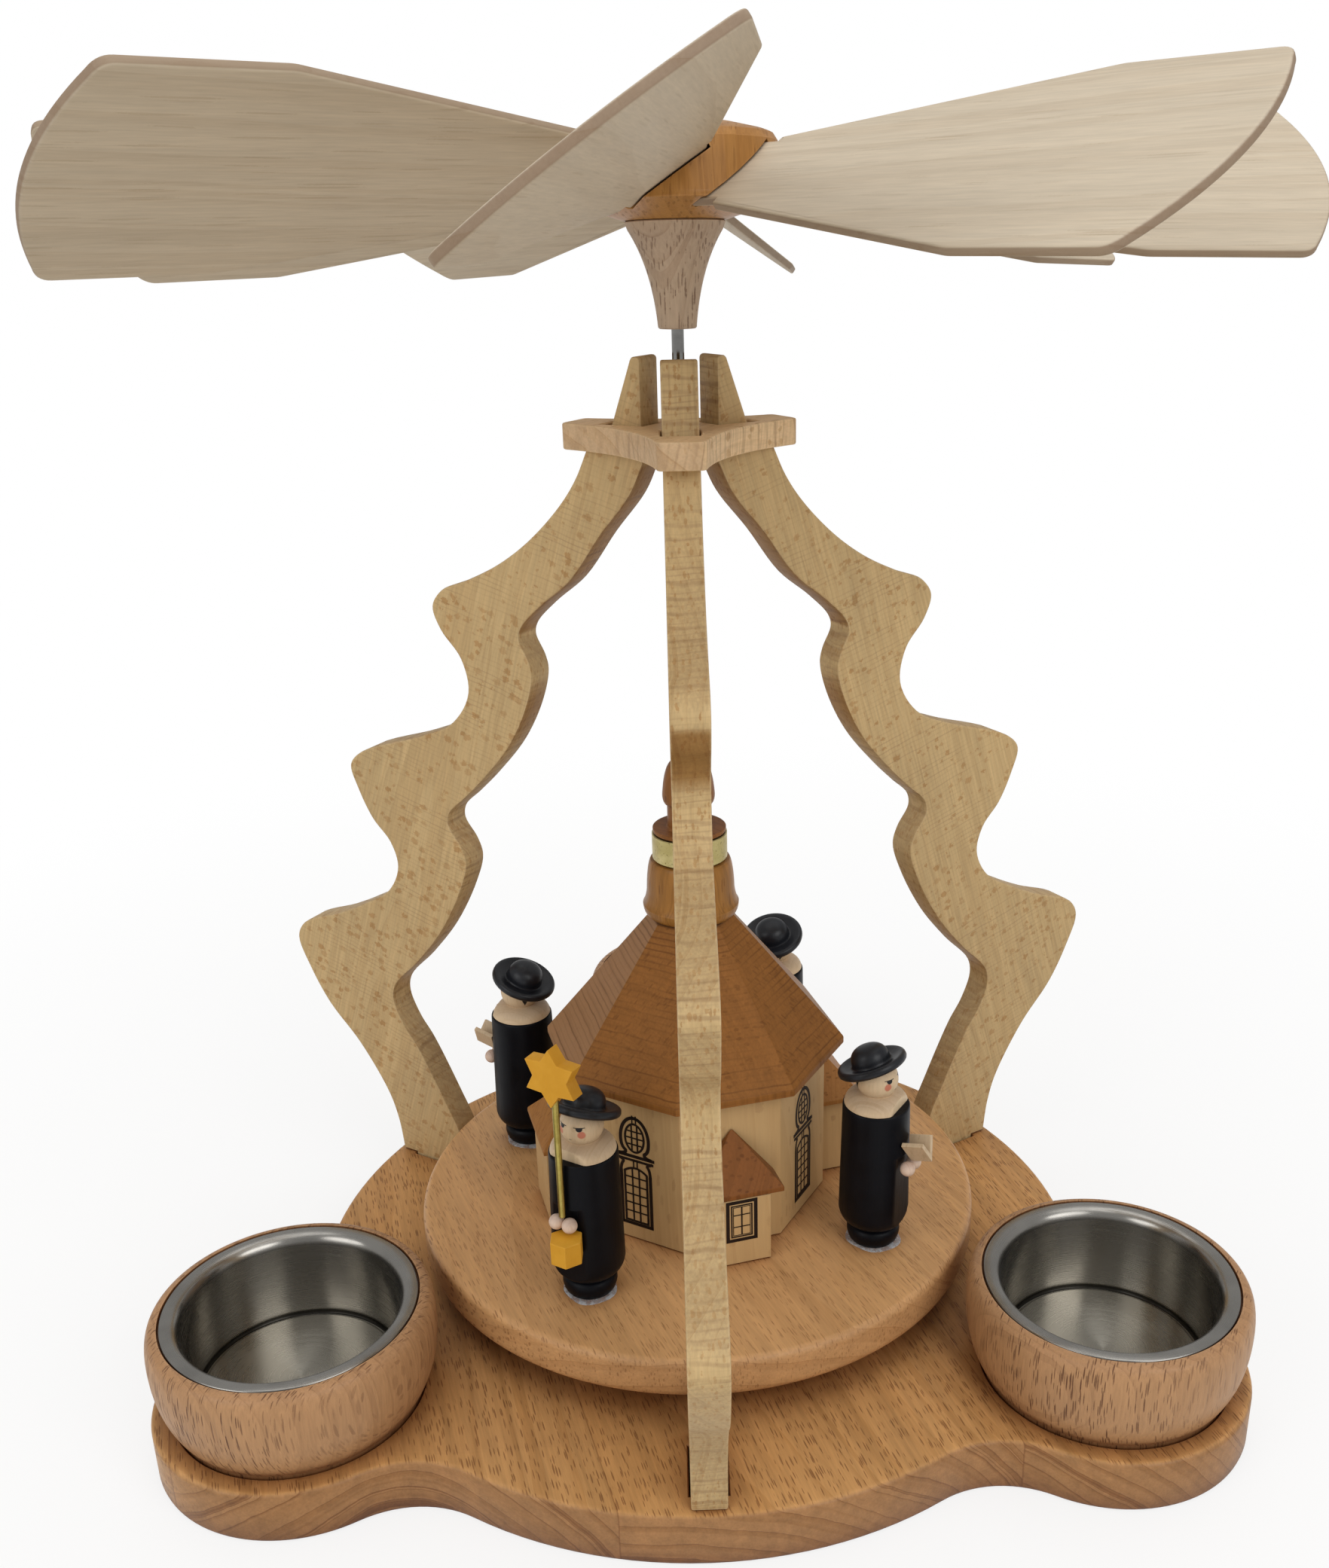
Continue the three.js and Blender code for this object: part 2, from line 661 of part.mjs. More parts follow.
function coatGeometry() {
  const foot = [coatFootRadius, 1.3];
  const waist = [coatFootRadius - 0.4, coatFootHeight - 1.4];
  const hem = [coatRadius, coatFootHeight + 2.3];
  const shoulder = [coatRadius - 0.4, coatHeight - 3.5];
  const profile = [
    [0, 0], [coatFootRadius - 0.5, 0], foot, waist,
    ...along(bend(waist, [coatRadius, coatFootHeight], hem), 2),
    shoulder,
    ...along(bend(shoulder, [coatRadius - 0.5, coatHeight - 0.7], [coatShoulderRadius, coatHeight]), 3),
    [0, coatHeight],
  ];
  const depth = coatRadius - coatFlat + 1;
  const height = coatFlatHeight + 1;
  const front = box(depth, 3 * coatRadius, height, coatFlat + depth / 2, 0, height / 2 - 1);
  return cut(turned(profile, 20), [front]);
}

// Pale shoulders, flat in front, neck and head in one turned piece; the head is a ball
function headGeometry() {
  const bottom = coatHeight + seatGap;
  const shoulderRadius = coatShoulderRadius - 0.2;
  const neckAngle = THREE.MathUtils.radToDeg(Math.asin(neckRadius / headRadius));
  const neck = [neckRadius, headHeight - headRadius * Math.cos(radians(neckAngle))];
  const whole = turned([
    [0, bottom], [shoulderRadius, bottom],
    ...along(bend([shoulderRadius, bottom], [shoulderRadius - 0.2, neckHeight], neck), 3),
    ...along(sweep(0, headHeight, headRadius, neckAngle - 90, 90), 6),
  ], 16);
  const height = neckHeight - bottom;
  const front = box(4, 3 * coatRadius, height, shoulderFlat + 2, 0, bottom + height / 2 - 0.5);
  return cut(whole, [front]);
}

// Round hat about the head's centre: a brim, a domed crown and a hollow that fits over the head
function hatGeometry() {
  const hollow = headRadius + seatGap;
  const startAngle = THREE.MathUtils.radToDeg(Math.asin(brimHeight / hollow));
  const mouth = [hollow * Math.cos(radians(startAngle)), brimHeight];
  const brimTop = brimHeight + brimThickness;
  const crownTop = brimTop + crownHeight;
  const inside = along(sweep(0, 0, hollow, 90, startAngle), 3);
  return turned([
    [0, hollow], ...inside.slice(0, -1), mouth, [brimRadius - brimRound, brimHeight],
    [brimRadius, brimHeight + brimThickness / 2], [brimRadius - brimRound, brimTop],
    [crownRadius, brimTop],
    ...along(bend([crownRadius, brimTop], [crownRadius, crownTop], [0, crownTop]), 4),
  ], 16);
}

function handsGeometry() {
  const x = coatFlat + seatGap + handRadius;
  const hand = (y) => new THREE.SphereGeometry(handRadius, 8, 6).translate(x, y, handHeight);
  return join(hand(-handSpread), [hand(handSpread)]);
}

// An open book, its two leaves in a V with the spine between the hands
function bookGeometry() {
  const lean = radians(bookAngle);
  const outer = [Math.sin(lean) * bookLeaf, Math.cos(lean) * bookLeaf];
  const across = [bookThickness * Math.cos(lean), bookThickness * Math.sin(lean)];
  const shape = new THREE.Shape([
    new THREE.Vector2(0, 0),
    new THREE.Vector2(outer[0], outer[1]),
    new THREE.Vector2(outer[0] - across[0], outer[1] + across[1]),
    new THREE.Vector2(0, bookThickness / Math.sin(lean)),
    new THREE.Vector2(across[0] - outer[0], outer[1] + across[1]),
    new THREE.Vector2(-outer[0], outer[1]),
  ]);
  const spineHeight = handHeight + (handRadius + seatGap - handSpread * Math.cos(lean)) / Math.sin(lean);
  return new THREE.ExtrudeGeometry(shape, { depth: bookLength, bevelEnabled: false })
    .rotateX(Math.PI / 2)
    .rotateZ(Math.PI / 2)
    .rotateY(radians(-bookTilt))
    .translate(bookReach, 0, spineHeight);
}

// The rod stands in the notch between the hands and ends in a hole in the star's lowest point
function rodEnds() {
  const dip = Math.sqrt(handRadius ** 2 - (handSpread - rodRadius) ** 2);
  return [handHeight + dip + seatGap, starHeight - starRadius + rodHoleDepth];
}

function starGeometry() {
  const shape = new THREE.Shape();
  for (let i = 0; i < 12; i += 1) {
    const radius = i % 2 === 0 ? starRadius : starInnerRadius;
    const angle = Math.PI / 2 + (i * Math.PI) / 6;
    const point = [radius * Math.cos(angle), radius * Math.sin(angle)];
    if (i === 0) shape.moveTo(...point);
    else shape.lineTo(...point);
  }
  const plate = new THREE.ExtrudeGeometry(shape, { depth: starThickness, bevelEnabled: false })
    .translate(0, 0, -starThickness / 2)
    .rotateX(Math.PI / 2)
    .rotateZ(Math.PI / 2)
    .translate(rodReach, 0, starHeight);
  const holeTop = rodEnds()[1] + seatGap;
  const hole = post(rodRadius + seatGap, starRadius, holeTop - starRadius, 12).translate(rodReach, 0, 0);
  return cut(plate, [hole]);
}

function handLanternGeometry() {
  const apothem = lanternRadius * Math.cos(Math.PI / 6);
  const top = handHeight - handRadius - seatGap;
  return post(lanternRadius, lanternHeight, top - lanternHeight, 6)
    .translate(coatFlat + seatGap + apothem, handSpread, 0);
}

function buildFigures(coatPaint, skin, paper, yellow, brass) {
  const coat = coatGeometry();
  const head = headGeometry();
  const hat = hatGeometry();
  const hands = handsGeometry();
  for (const [name, direction] of Object.entries(figures)) {
    const figure = new THREE.Group();
    figure.position.set(figureRadius, 0, turntableTop + seatGap);
    facing(direction).add(figure);
    add(`${name}_coat`, coat.clone(), coatPaint, figure);
    add(`${name}_head`, head.clone(), skin, figure);
    const hatMesh = add(`${name}_hat`, hat.clone(), coatPaint, figure);
    hatMesh.position.z = headHeight;
    hatMesh.rotation.y = radians(hatTilt);
    add(`${name}_hands`, hands.clone(), skin, figure);
    if (name !== 'bearer') {
      add(`${name}_book`, bookGeometry(), paper, figure);
      continue;
    }
    const [low, high] = rodEnds();
    add('star_rod', post(rodRadius, high - low, low, 12).translate(rodReach, 0, 0), brass, figure);
    add('star', starGeometry(), yellow, figure);
    add('hand_lantern', handLanternGeometry(), yellow, figure);
  }
}

const beech = paint(0xb98f62, 0.62);
const armBeech = paint(0xbb9670, 0.64);
const paleBeech = paint(0xc8a47a, 0.66);
const linden = paint(0xb49b72, 0.6);
const brownStain = paint(0x7a4d28, 0.5);
const redBrownStain = paint(0x6f4327, 0.5);
const amberStain = paint(0x8a5a24, 0.4);
const hubStain = paint(0x85603c, 0.5);
const bladeWood = paint(0xb7a690, 0.65);
const blackPaint = paint(0x14151a, 0.35);
const skinWood = paint(0xcbb491, 0.55);
const yellowPaint = paint(0xc9922b, 0.5);
const steel = paint(0x9a9894, 0.3, 1);
const brass = paint(0xb5a45c, 0.35, 1);
const insertMetal = paint(0xa08a70, 0.35, 1);

buildBase(beech);
buildBearing(brass);
buildCups(beech, insertMetal);
buildArms(armBeech);
buildCollar(armBeech);
buildSpindle(steel);
buildTurntable(beech);
buildChurch(linden, brownStain, redBrownStain);
buildLantern(amberStain, brass, brownStain);
buildSleeve(paleBeech);
buildRotor(hubStain, bladeWood);
buildFigures(blackPaint, skinWood, skinWood, yellowPaint, brass);

export default pyramid;
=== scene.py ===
import math

import bmesh
import bpy
from mathutils import Matrix, Vector
from mathutils.geometry import tessellate_polygon


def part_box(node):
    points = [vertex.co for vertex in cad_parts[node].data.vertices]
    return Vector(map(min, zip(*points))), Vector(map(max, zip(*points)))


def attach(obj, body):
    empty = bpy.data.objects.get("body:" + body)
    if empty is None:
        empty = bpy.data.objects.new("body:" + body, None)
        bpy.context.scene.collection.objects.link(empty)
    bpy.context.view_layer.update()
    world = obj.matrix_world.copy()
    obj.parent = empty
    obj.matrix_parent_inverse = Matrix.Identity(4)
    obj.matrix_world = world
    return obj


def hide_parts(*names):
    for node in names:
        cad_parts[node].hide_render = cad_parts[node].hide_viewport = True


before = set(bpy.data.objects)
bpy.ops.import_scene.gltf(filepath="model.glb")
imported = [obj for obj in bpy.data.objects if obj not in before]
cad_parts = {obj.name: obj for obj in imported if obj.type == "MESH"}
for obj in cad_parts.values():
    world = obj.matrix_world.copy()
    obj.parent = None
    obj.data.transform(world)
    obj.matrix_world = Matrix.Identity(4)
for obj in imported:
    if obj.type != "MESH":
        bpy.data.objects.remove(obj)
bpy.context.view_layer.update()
mm = 0.001
print("frame loaded")


# camera and studio

cameraSettings = {
    "place": (-2.718, -283.524, 218.183),  # millimetres
    "azimuth": -0.02221,  # radians, as are the next two
    "elevation": 0.38215,
    "roll": -0.01889,
    "focal": 2034.15,  # pixels of the whole picture
    "centre": (939.15, 1116.96),
    "picture": (1764, 2082),
    "sensor": 36,
}


def makeCamera(settings):
    azimuth, elevation, roll = settings["azimuth"], settings["elevation"], settings["roll"]
    back = Vector((math.sin(azimuth) * math.cos(elevation), -math.cos(azimuth) * math.cos(elevation),
                   math.sin(elevation)))
    level = (-back).cross(Vector((0, 0, 1))).normalized()
    upright = level.cross(-back)
    right = math.cos(roll) * level + math.sin(roll) * upright
    up = -math.sin(roll) * level + math.cos(roll) * upright
    width, height = settings["picture"]
    data = bpy.data.cameras.new("photoCamera")
    data.sensor_width = settings["sensor"]
    data.lens = settings["focal"] * settings["sensor"] / height
    data.shift_x = (width / 2 - settings["centre"][0]) / height
    data.shift_y = (settings["centre"][1] - height / 2) / height
    data.clip_start = 0.01
    data.clip_end = 20
    camera = bpy.data.objects.new("photoCamera", data)
    bpy.context.scene.collection.objects.link(camera)
    turn = Matrix((right, up, back)).transposed().to_4x4()
    camera.matrix_world = Matrix.Translation(Vector(settings["place"]) * mm) @ turn
    bpy.context.scene.camera = camera


makeCamera(cameraSettings)
print("camera placed")


# small helpers for node trees

def linear(code):
    # a colour written as in a paint chart, #rrggbb, for a shader socket
    parts = [int(code[i:i + 2], 16) / 255 for i in (1, 3, 5)]
    return tuple(c / 12.92 if c <= 0.04045 else ((c + 0.055) / 1.055) ** 2.4 for c in parts) + (1.0,)


def feed(tree, socket, value):
    if isinstance(value, Value):
        value = value.socket
    if isinstance(value, bpy.types.NodeSocket):
        tree.links.new(value, socket)
    else:
        socket.default_value = value


def calc(tree, operation, *values, clamp=False):
    node = tree.nodes.new("ShaderNodeMath")
    node.operation = operation
    node.use_clamp = clamp
    for socket, value in zip(node.inputs, values):
        feed(tree, socket, value)
    return Value(tree, node.outputs[0])


class Value:
    # a number that flows through a node tree; each sum written with it adds one math node

    def __init__(self, tree, socket):
        self.tree = tree
        self.socket = socket

    def __add__(self, other):
        return calc(self.tree, "ADD", self, other)

    def __radd__(self, other):
        return calc(self.tree, "ADD", other, self)

    def __sub__(self, other):
        return calc(self.tree, "SUBTRACT", self, other)

    def __rsub__(self, other):
        return calc(self.tree, "SUBTRACT", other, self)

    def __mul__(self, other):
        return calc(self.tree, "MULTIPLY", self, other)

    def __truediv__(self, other):
        return calc(self.tree, "DIVIDE", self, other)

    def __rtruediv__(self, other):
        return calc(self.tree, "DIVIDE", other, self)

    def __abs__(self):
        return calc(self.tree, "ABSOLUTE", self)


def vectorCalc(tree, operation, *values):
    node = tree.nodes.new("ShaderNodeVectorMath")
    node.operation = operation
    for socket, value in zip(node.inputs, values):
        feed(tree, socket, value)
    return Value(tree, node.outputs["Value" if operation in ("LENGTH", "DOT_PRODUCT") else "Vector"])


def noise(tree, vector, scale, detail=2.0, roughness=0.5):
    node = tree.nodes.new("ShaderNodeTexNoise")
    feed(tree, node.inputs["Vector"], vector)
    feed(tree, node.inputs["Scale"], scale)
    feed(tree, node.inputs["Detail"], detail)
    feed(tree, node.inputs["Roughness"], roughness)
    return Value(tree, node.outputs["Fac"])


def step(tree, value, low, high, toLow=0.0, toHigh=1.0):
    node = tree.nodes.new("ShaderNodeMapRange")
    node.interpolation_type = "SMOOTHSTEP"
    given = {"Value": value, "From Min": low, "From Max": high, "To Min": toLow, "To Max": toHigh}
    for name, number in given.items():
        feed(tree, node.inputs[name], number)
    return Value(tree, node.outputs["Result"])


def mixColour(tree, factor, first, second, blend="MIX"):
    node = tree.nodes.new("ShaderNodeMix")
    node.data_type = "RGBA"
    node.blend_type = blend
    feed(tree, node.inputs[0], factor)
    feed(tree, node.inputs[6], first)
    feed(tree, node.inputs[7], second)
    return node.outputs[2]


def split(tree, vector):
    node = tree.nodes.new("ShaderNodeSeparateXYZ")
    feed(tree, node.inputs[0], vector)
    return [Value(tree, socket) for socket in node.outputs]


def gather(tree, x, y, z):
    node = tree.nodes.new("ShaderNodeCombineXYZ")
    for socket, value in zip(node.inputs, (x, y, z)):
        feed(tree, socket, value)
    return node.outputs[0]


def givenValues(tree):
    return {socket.name: Value(tree, socket) for socket in tree.nodes.new("NodeGroupInput").outputs}


def newGroup(name, inputs, outputs):
    group = bpy.data.node_groups.new(name, "ShaderNodeTree")
    for label, kind, default in inputs:
        socket = group.interface.new_socket(label, in_out="INPUT", socket_type="NodeSocket" + kind)
        if default is not None:
            socket.default_value = default
    for label, kind in outputs:
        group.interface.new_socket(label, in_out="OUTPUT", socket_type="NodeSocket" + kind)
    given = givenValues(group)
    result = group.nodes.new("NodeGroupOutput").inputs
    return group, given, result


def useGroup(tree, group, **values):
    node = tree.nodes.new("ShaderNodeGroup")
    node.node_tree = group
    for label, value in values.items():
        feed(tree, node.inputs[label], value)
    return node.outputs


# wood: growth rings about a heart below the board, ray flecks, fibres and mottling, in metres

woodLook = {
    # how often each pattern changes in a metre along the grain, across it and out of the board
    "bend": (9, 30, 30), "ripple": (60, 250, 250), "thread": (130, 2300, 2300), "streak": (11, 430, 430),
    "blotch": (35, 90, 90), "fray": 1900.0,
    "drift": 0.16,  # slope of the rings against the board, at most
    "rippleShare": 0.12, "ringUnevenness": 1.6, "lateFrom": 0.25, "lateTo": 0.93, "lateEnd": 0.94,
    "fleckSize": 0.22, "fleckWander": 1.4, "fleckScatter": 0.85,
    "endTint": (0.6, 0.56, 0.6, 1), "endRings": 0.4, "endRingFrom": 0.82, "endRingDepth": 0.5,
    "staveTone": 0.12, "seamHalf": 0.00004, "seamReach": 0.0002, "seamDepth": 0.45,
    "fleckGloss": 0.12, "blotchGloss": 0.16, "threadRelief": 0.5, "fleckRelief": 0.8, "lateRelief": 0.25,
}


def longNoise(tree, vector, perMetre, detail=2.0, roughness=0.5):
    # noise drawn out along the grain
    return noise(tree, vectorCalc(tree, "MULTIPLY", vector, perMetre), 1.0, detail, roughness)


def makeWoodGroup(look):
    tree, given, result = newGroup("woodFigure", [
        ("Vector", "Vector", None),
        ("Light", "Color", (0.55, 0.36, 0.2, 1)),
        ("Dark", "Color", (0.4, 0.24, 0.12, 1)),
        ("Fleck", "Color", (0.25, 0.12, 0.06, 1)),
        ("ringWidth", "Float", 0.003),
        ("ringContrast", "Float", 0.5),
        ("heartDepth", "Float", 0.05),
        ("heartAside", "Float", 2.4),
        ("warp", "Float", 0.003),
        ("fleckLength", "Float", 0.003),
        ("fleckWidth", "Float", 0.001),
        ("fleckDepth", "Float", 3.0),
        ("fleckFray", "Float", 0.3),
        ("fleckAmount", "Float", 0.5),
        ("fleckStrength", "Float", 0.8),
        ("fibre", "Float", 0.2),
        ("streaks", "Float", 0.0),
        ("mottle", "Float", 0.2),
        ("staveWidth", "Float", 10.0),
        ("seed", "Float", 0.0),
        ("gloss", "Float", 0.55),
        ("endGrain", "Float", 0.0),
        ("endDepth", "Float", 0.45),
    ], [("Color", "Color"), ("Roughness", "Float"), ("Height", "Float")])
    x, y, z = split(tree, given["Vector"])
    # staves: each has a heart and a tone of its own
    stave = calc(tree, "FLOOR", y / given["staveWidth"] + 0.5)
    chance = tree.nodes.new("ShaderNodeTexWhiteNoise")
    chance.noise_dimensions = "1D"
    feed(tree, chance.inputs["W"], stave * 7.31 + given["seed"])
    first, second, third = split(tree, chance.outputs["Color"])
    inStave = y - stave * given["staveWidth"]
    aside = (first - 0.5) * (given["heartDepth"] * given["heartAside"])
    below = (second + 0.5) * given["heartDepth"]
    drift = x * ((third - 0.5) * look["drift"])
    # rings: the distance from the heart, bent and rippled
    shifted = vectorCalc(tree, "ADD", given["Vector"], gather(tree, given["seed"], stave, 0.0))
    bend = longNoise(tree, shifted, look["bend"]) - 0.5
    ripple = longNoise(tree, shifted, look["ripple"]) - 0.5
    radius = vectorCalc(tree, "LENGTH", gather(tree, 0.0, inStave - aside, z + below))
    radius = radius + (drift + bend * given["warp"])
    radius = radius + ripple * (given["warp"] * look["rippleShare"])
    count = radius / given["ringWidth"]
    uneven = tree.nodes.new("ShaderNodeTexNoise")
    uneven.noise_dimensions = "1D"
    feed(tree, uneven.inputs["W"], count * 0.45)
    count = count + Value(tree, uneven.outputs["Fac"]) * look["ringUnevenness"]
    share = calc(tree, "FRACT", count)
    ringEnd = step(tree, share, look["lateEnd"], 1.0, 1.0, 0.0)
    late = step(tree, share, look["lateFrom"], look["lateTo"]) * ringEnd
    # flecks: one ellipsoid in some of the cells of a stretched lattice
    wander = ripple * (given["fleckWidth"] * look["fleckWander"])
    cell = tree.nodes.new("ShaderNodeTexVoronoi")
    feed(tree, cell.inputs["Scale"], 1.0)
    feed(tree, cell.inputs["Randomness"], look["fleckScatter"])
    feed(tree, cell.inputs["Vector"], gather(tree, (x + given["seed"] * 0.37) / given["fleckLength"],
                                             (y + wander) / given["fleckWidth"],
                                             z / (given["fleckWidth"] * given["fleckDepth"])))
    pick, size, depth = split(tree, cell.outputs["Color"])
    chosen = step(tree, pick, 1.0 - given["fleckAmount"], 1.02 - given["fleckAmount"])
    reach = size * look["fleckSize"] + look["fleckSize"]
    fray = (noise(tree, given["Vector"], look["fray"]) - 0.5) * given["fleckFray"]
    frayed = Value(tree, cell.outputs["Distance"]) + fray
    dash = step(tree, frayed, reach * 0.7, reach * 1.1, 1.0, 0.0)
    fleck = dash * chosen * (given["fleckStrength"] * (depth * 0.5 + 0.5))
    thread = longNoise(tree, shifted, look["thread"], 3.0, 0.6)
    streak = longNoise(tree, shifted, look["streak"], 2.0, 0.6)
    blotch = longNoise(tree, shifted, look["blotch"], 3.0, 0.55)
    # end grain soaks up more finish: darker, with stronger rings and no flecks
    end = step(tree, given["endGrain"], 0.15, 0.85) * given["endDepth"]
    contrast = calc(tree, "ADD", given["ringContrast"], end * look["endRings"], clamp=True)
    colour = mixColour(tree, late * contrast, given["Light"], given["Dark"])
    colour = mixColour(tree, end, colour, mixColour(tree, 1.0, colour, look["endTint"], "MULTIPLY"))
    ringLine = step(tree, share, look["endRingFrom"], look["lateTo"]) * ringEnd
    colour = mixColour(tree, ringLine * end * look["endRingDepth"], colour, given["Fleck"])
    fleck = fleck * calc(tree, "SUBTRACT", 1.0, end, clamp=True)
    colour = mixColour(tree, fleck, colour, given["Fleck"])
    # brightness: fibres, blotches, streaks and the stave's own tone
    tone = (thread - 0.5) * given["fibre"] + (blotch - 0.5) * given["mottle"]
    staveTone = (second - 0.5) * look["staveTone"] + (streak - 0.5) * given["streaks"]
    brighten = tree.nodes.new("ShaderNodeVectorMath")
    brighten.operation = "SCALE"
    feed(tree, brighten.inputs[0], colour)
    feed(tree, brighten.inputs["Scale"], tone + staveTone + 1.0)
    fromSeam = abs(abs(inStave) - given["staveWidth"] * 0.5)
    seam = step(tree, fromSeam, look["seamHalf"], look["seamReach"], look["seamDepth"], 0.0)
    feed(tree, result["Color"], mixColour(tree, seam, brighten.outputs[0], given["Fleck"]))
    dulled = fleck * look["fleckGloss"] + (blotch - 0.5) * look["blotchGloss"]
    feed(tree, result["Roughness"], given["gloss"] + dulled)
    relief = thread * look["threadRelief"] - fleck * look["fleckRelief"]
    feed(tree, result["Height"], relief - late * look["lateRelief"])
    return tree


def makeWearAndHighlightGroup():
    # where edges are worn, and where they carry a painted highlight: the Bevel node's normal leaves the
    # face's own near an edge
    tree, given, result = newGroup("wearAndHighlightEdge", [
        ("Vector", "Vector", None),
        ("width", "Float", 0.0006),
        ("amount", "Float", 0.5),
    ], [("Mask", "Float")])
    bevel = tree.nodes.new("ShaderNodeBevel")
    bevel.samples = 4
    feed(tree, bevel.inputs["Radius"], given["width"])
    face = tree.nodes.new("ShaderNodeNewGeometry")
    turned = 1.0 - vectorCalc(tree, "DOT_PRODUCT", bevel.outputs[0], face.outputs["Normal"])
    patch = noise(tree, given["Vector"], 400.0, 3.0, 0.6)
    broken = step(tree, turned, 0.01, 0.14) * step(tree, patch, 0.3, 0.6)
    feed(tree, result["Mask"], calc(tree, "MULTIPLY", broken, given["amount"], clamp=True))
    return tree


def makeMarksGroup():
    # fine saw and plane marks that run across the grain, in uneven lines
    tree, given, result = newGroup("crossMarks", [
        ("Vector", "Vector", None),
        ("perMetre", "Float", 700.0),
        ("wobble", "Float", 0.1),
        ("strength", "Float", 0.4),
        ("tilt", "Float", 0.0),
    ], [("Mask", "Float")])
    x, y, z = split(tree, given["Vector"])
    along = x + (y + z) * given["tilt"]
    wave = longNoise(tree, given["Vector"], (110, 130, 130), 3.0) - 0.5
    count = along * given["perMetre"] + wave * given["wobble"]
    own = tree.nodes.new("ShaderNodeTexWhiteNoise")
    own.noise_dimensions = "1D"
    feed(tree, own.inputs["W"], calc(tree, "FLOOR", count))
    offLine = abs(calc(tree, "FRACT", count) - 0.5)
    depth = step(tree, own.outputs["Value"], 0.0, 1.0, 0.25, 1.0)
    line = step(tree, offLine, 0.04, 0.2, 1.0, 0.0) * depth
    zones = longNoise(tree, given["Vector"], (60, 60, 60))
    mask = line * step(tree, zones, 0.35, 0.62, 0.25, 1.0)
    feed(tree, result["Mask"], calc(tree, "MULTIPLY", mask, given["strength"], clamp=True))
    return tree


woodFigure = makeWoodGroup(woodLook)
wearAndHighlightEdge = makeWearAndHighlightGroup()
crossMarks = makeMarksGroup()


def pieceVector(tree):
    # each piece carries its own coordinates along the grain, so that the figure turns with the piece
    node = tree.nodes.new("ShaderNodeAttribute")
    node.attribute_name = "grain"
    return node.outputs["Vector"]


def facing(tree):
    # how far the surface faces along the grain, across it and out of the board, as the mesh code stored it
    node = tree.nodes.new("ShaderNodeAttribute")
    node.attribute_name = "facing"
    return split(tree, node.outputs["Vector"])


def newMaterial(name):
    material = bpy.data.materials.new(name)
    material.use_nodes = True
    tree = material.node_tree
    return material, tree, tree.nodes["Principled BSDF"]


def objectVector(tree, name="Object"):
    return tree.nodes.new("ShaderNodeTexCoord").outputs[name]


# darkens a colour by a tint, for painted shade
def shadeTinted(tree, colour, tint):
    return mixColour(tree, 1.0, colour, linear(tint), "MULTIPLY")


def addBump(tree, shader, height, strength, distance):
    bump = tree.nodes.new("ShaderNodeBump")
    bump.inputs["Strength"].default_value = strength
    bump.inputs["Distance"].default_value = distance
    feed(tree, bump.inputs["Height"], height)
    feed(tree, shader.inputs["Normal"], bump.outputs[0])


def addWearAndHighlight(tree, colour, settings):
    # paints the edge colour: partly wear, partly a painted highlight
    if not settings["rubbed"]:
        return colour
    edge = useGroup(tree, wearAndHighlightEdge, Vector=pieceVector(tree), width=settings["rubbedWidth"],
                    amount=settings["rubbed"])
    return mixColour(tree, edge["Mask"], colour, linear(settings["rubbedColour"]))


def addPaintedSideSheen(tree, colour, axis, light):
    # painted sheen: sides that lie along the axis, in degrees, are painted in a paler colour, standing in
    # for light glancing off them
    axis = math.radians(axis)
    normal = objectVector(tree, "Normal")
    along = vectorCalc(tree, "DOT_PRODUCT", normal, (math.cos(axis), math.sin(axis), 0.0))
    return mixColour(tree, step(tree, abs(along), 0.15, 0.45, 0.7, 0.0), colour, linear(light))


def addMarks(tree, colour, settings, flat):
    # settings: marks in a metre, their wobble, strength and tilt; on flat faces only a share of them shows
    for key, onFace in zip(("marks", "marksSecond"), settings["marksOnFace"]):
        if key not in settings:
            continue
        perMetre, wobble, strength, tilt = settings[key]
        if onFace < 1:
            strength = step(tree, flat, 0.5, 0.9, strength, strength * onFace)
        marks = useGroup(tree, crossMarks, Vector=pieceVector(tree), perMetre=perMetre, wobble=wobble,
                         strength=strength, tilt=tilt)
        colour = mixColour(tree, marks["Mask"], colour, linear(settings["marksColour"]))
    return colour


def addPaintedUnderShade(tree, colour, low, high, tint):
    # painted shade: undersides are painted darker from one height to another, in metres
    down = split(tree, objectVector(tree, "Normal"))[2] * -1.0
    height = split(tree, objectVector(tree))[2]
    down = step(tree, down, 0.1, 0.4) * step(tree, height, low, high)
    return mixColour(tree, down, colour, shadeTinted(tree, colour, tint))


def addPaintedContactShade(tree, colour, reach, deep):
    # painted shade: hollows and the lines where parts touch are darkened in colour from an ambient occlusion
    # mask
    hollow = tree.nodes.new("ShaderNodeAmbientOcclusion")
    hollow.samples = 6
    hollow.inputs["Distance"].default_value = reach
    near = step(tree, hollow.outputs["AO"], 0.15, 0.85, 1.0, 0.0)
    return mixColour(tree, near, colour, shadeTinted(tree, colour, deep))


woodDefaults = {
    "ringWidth": 0.003, "ringContrast": 0.4, "heartDepth": 0.03, "warp": 0.003, "fleckLength": 0.003,
    "fleckWidth": 0.0006, "fleckAmount": 0.7, "fleckStrength": 0.5, "fibre": 0.5, "mottle": 0.12,
    "gloss": 0.45, "bump": 0.25, "rubbed": 0.0, "rubbedWidth": 0.0006, "specular": 0.3,
    "marksOnFace": (1.0, 1.0), "quarterSawn": False,
}


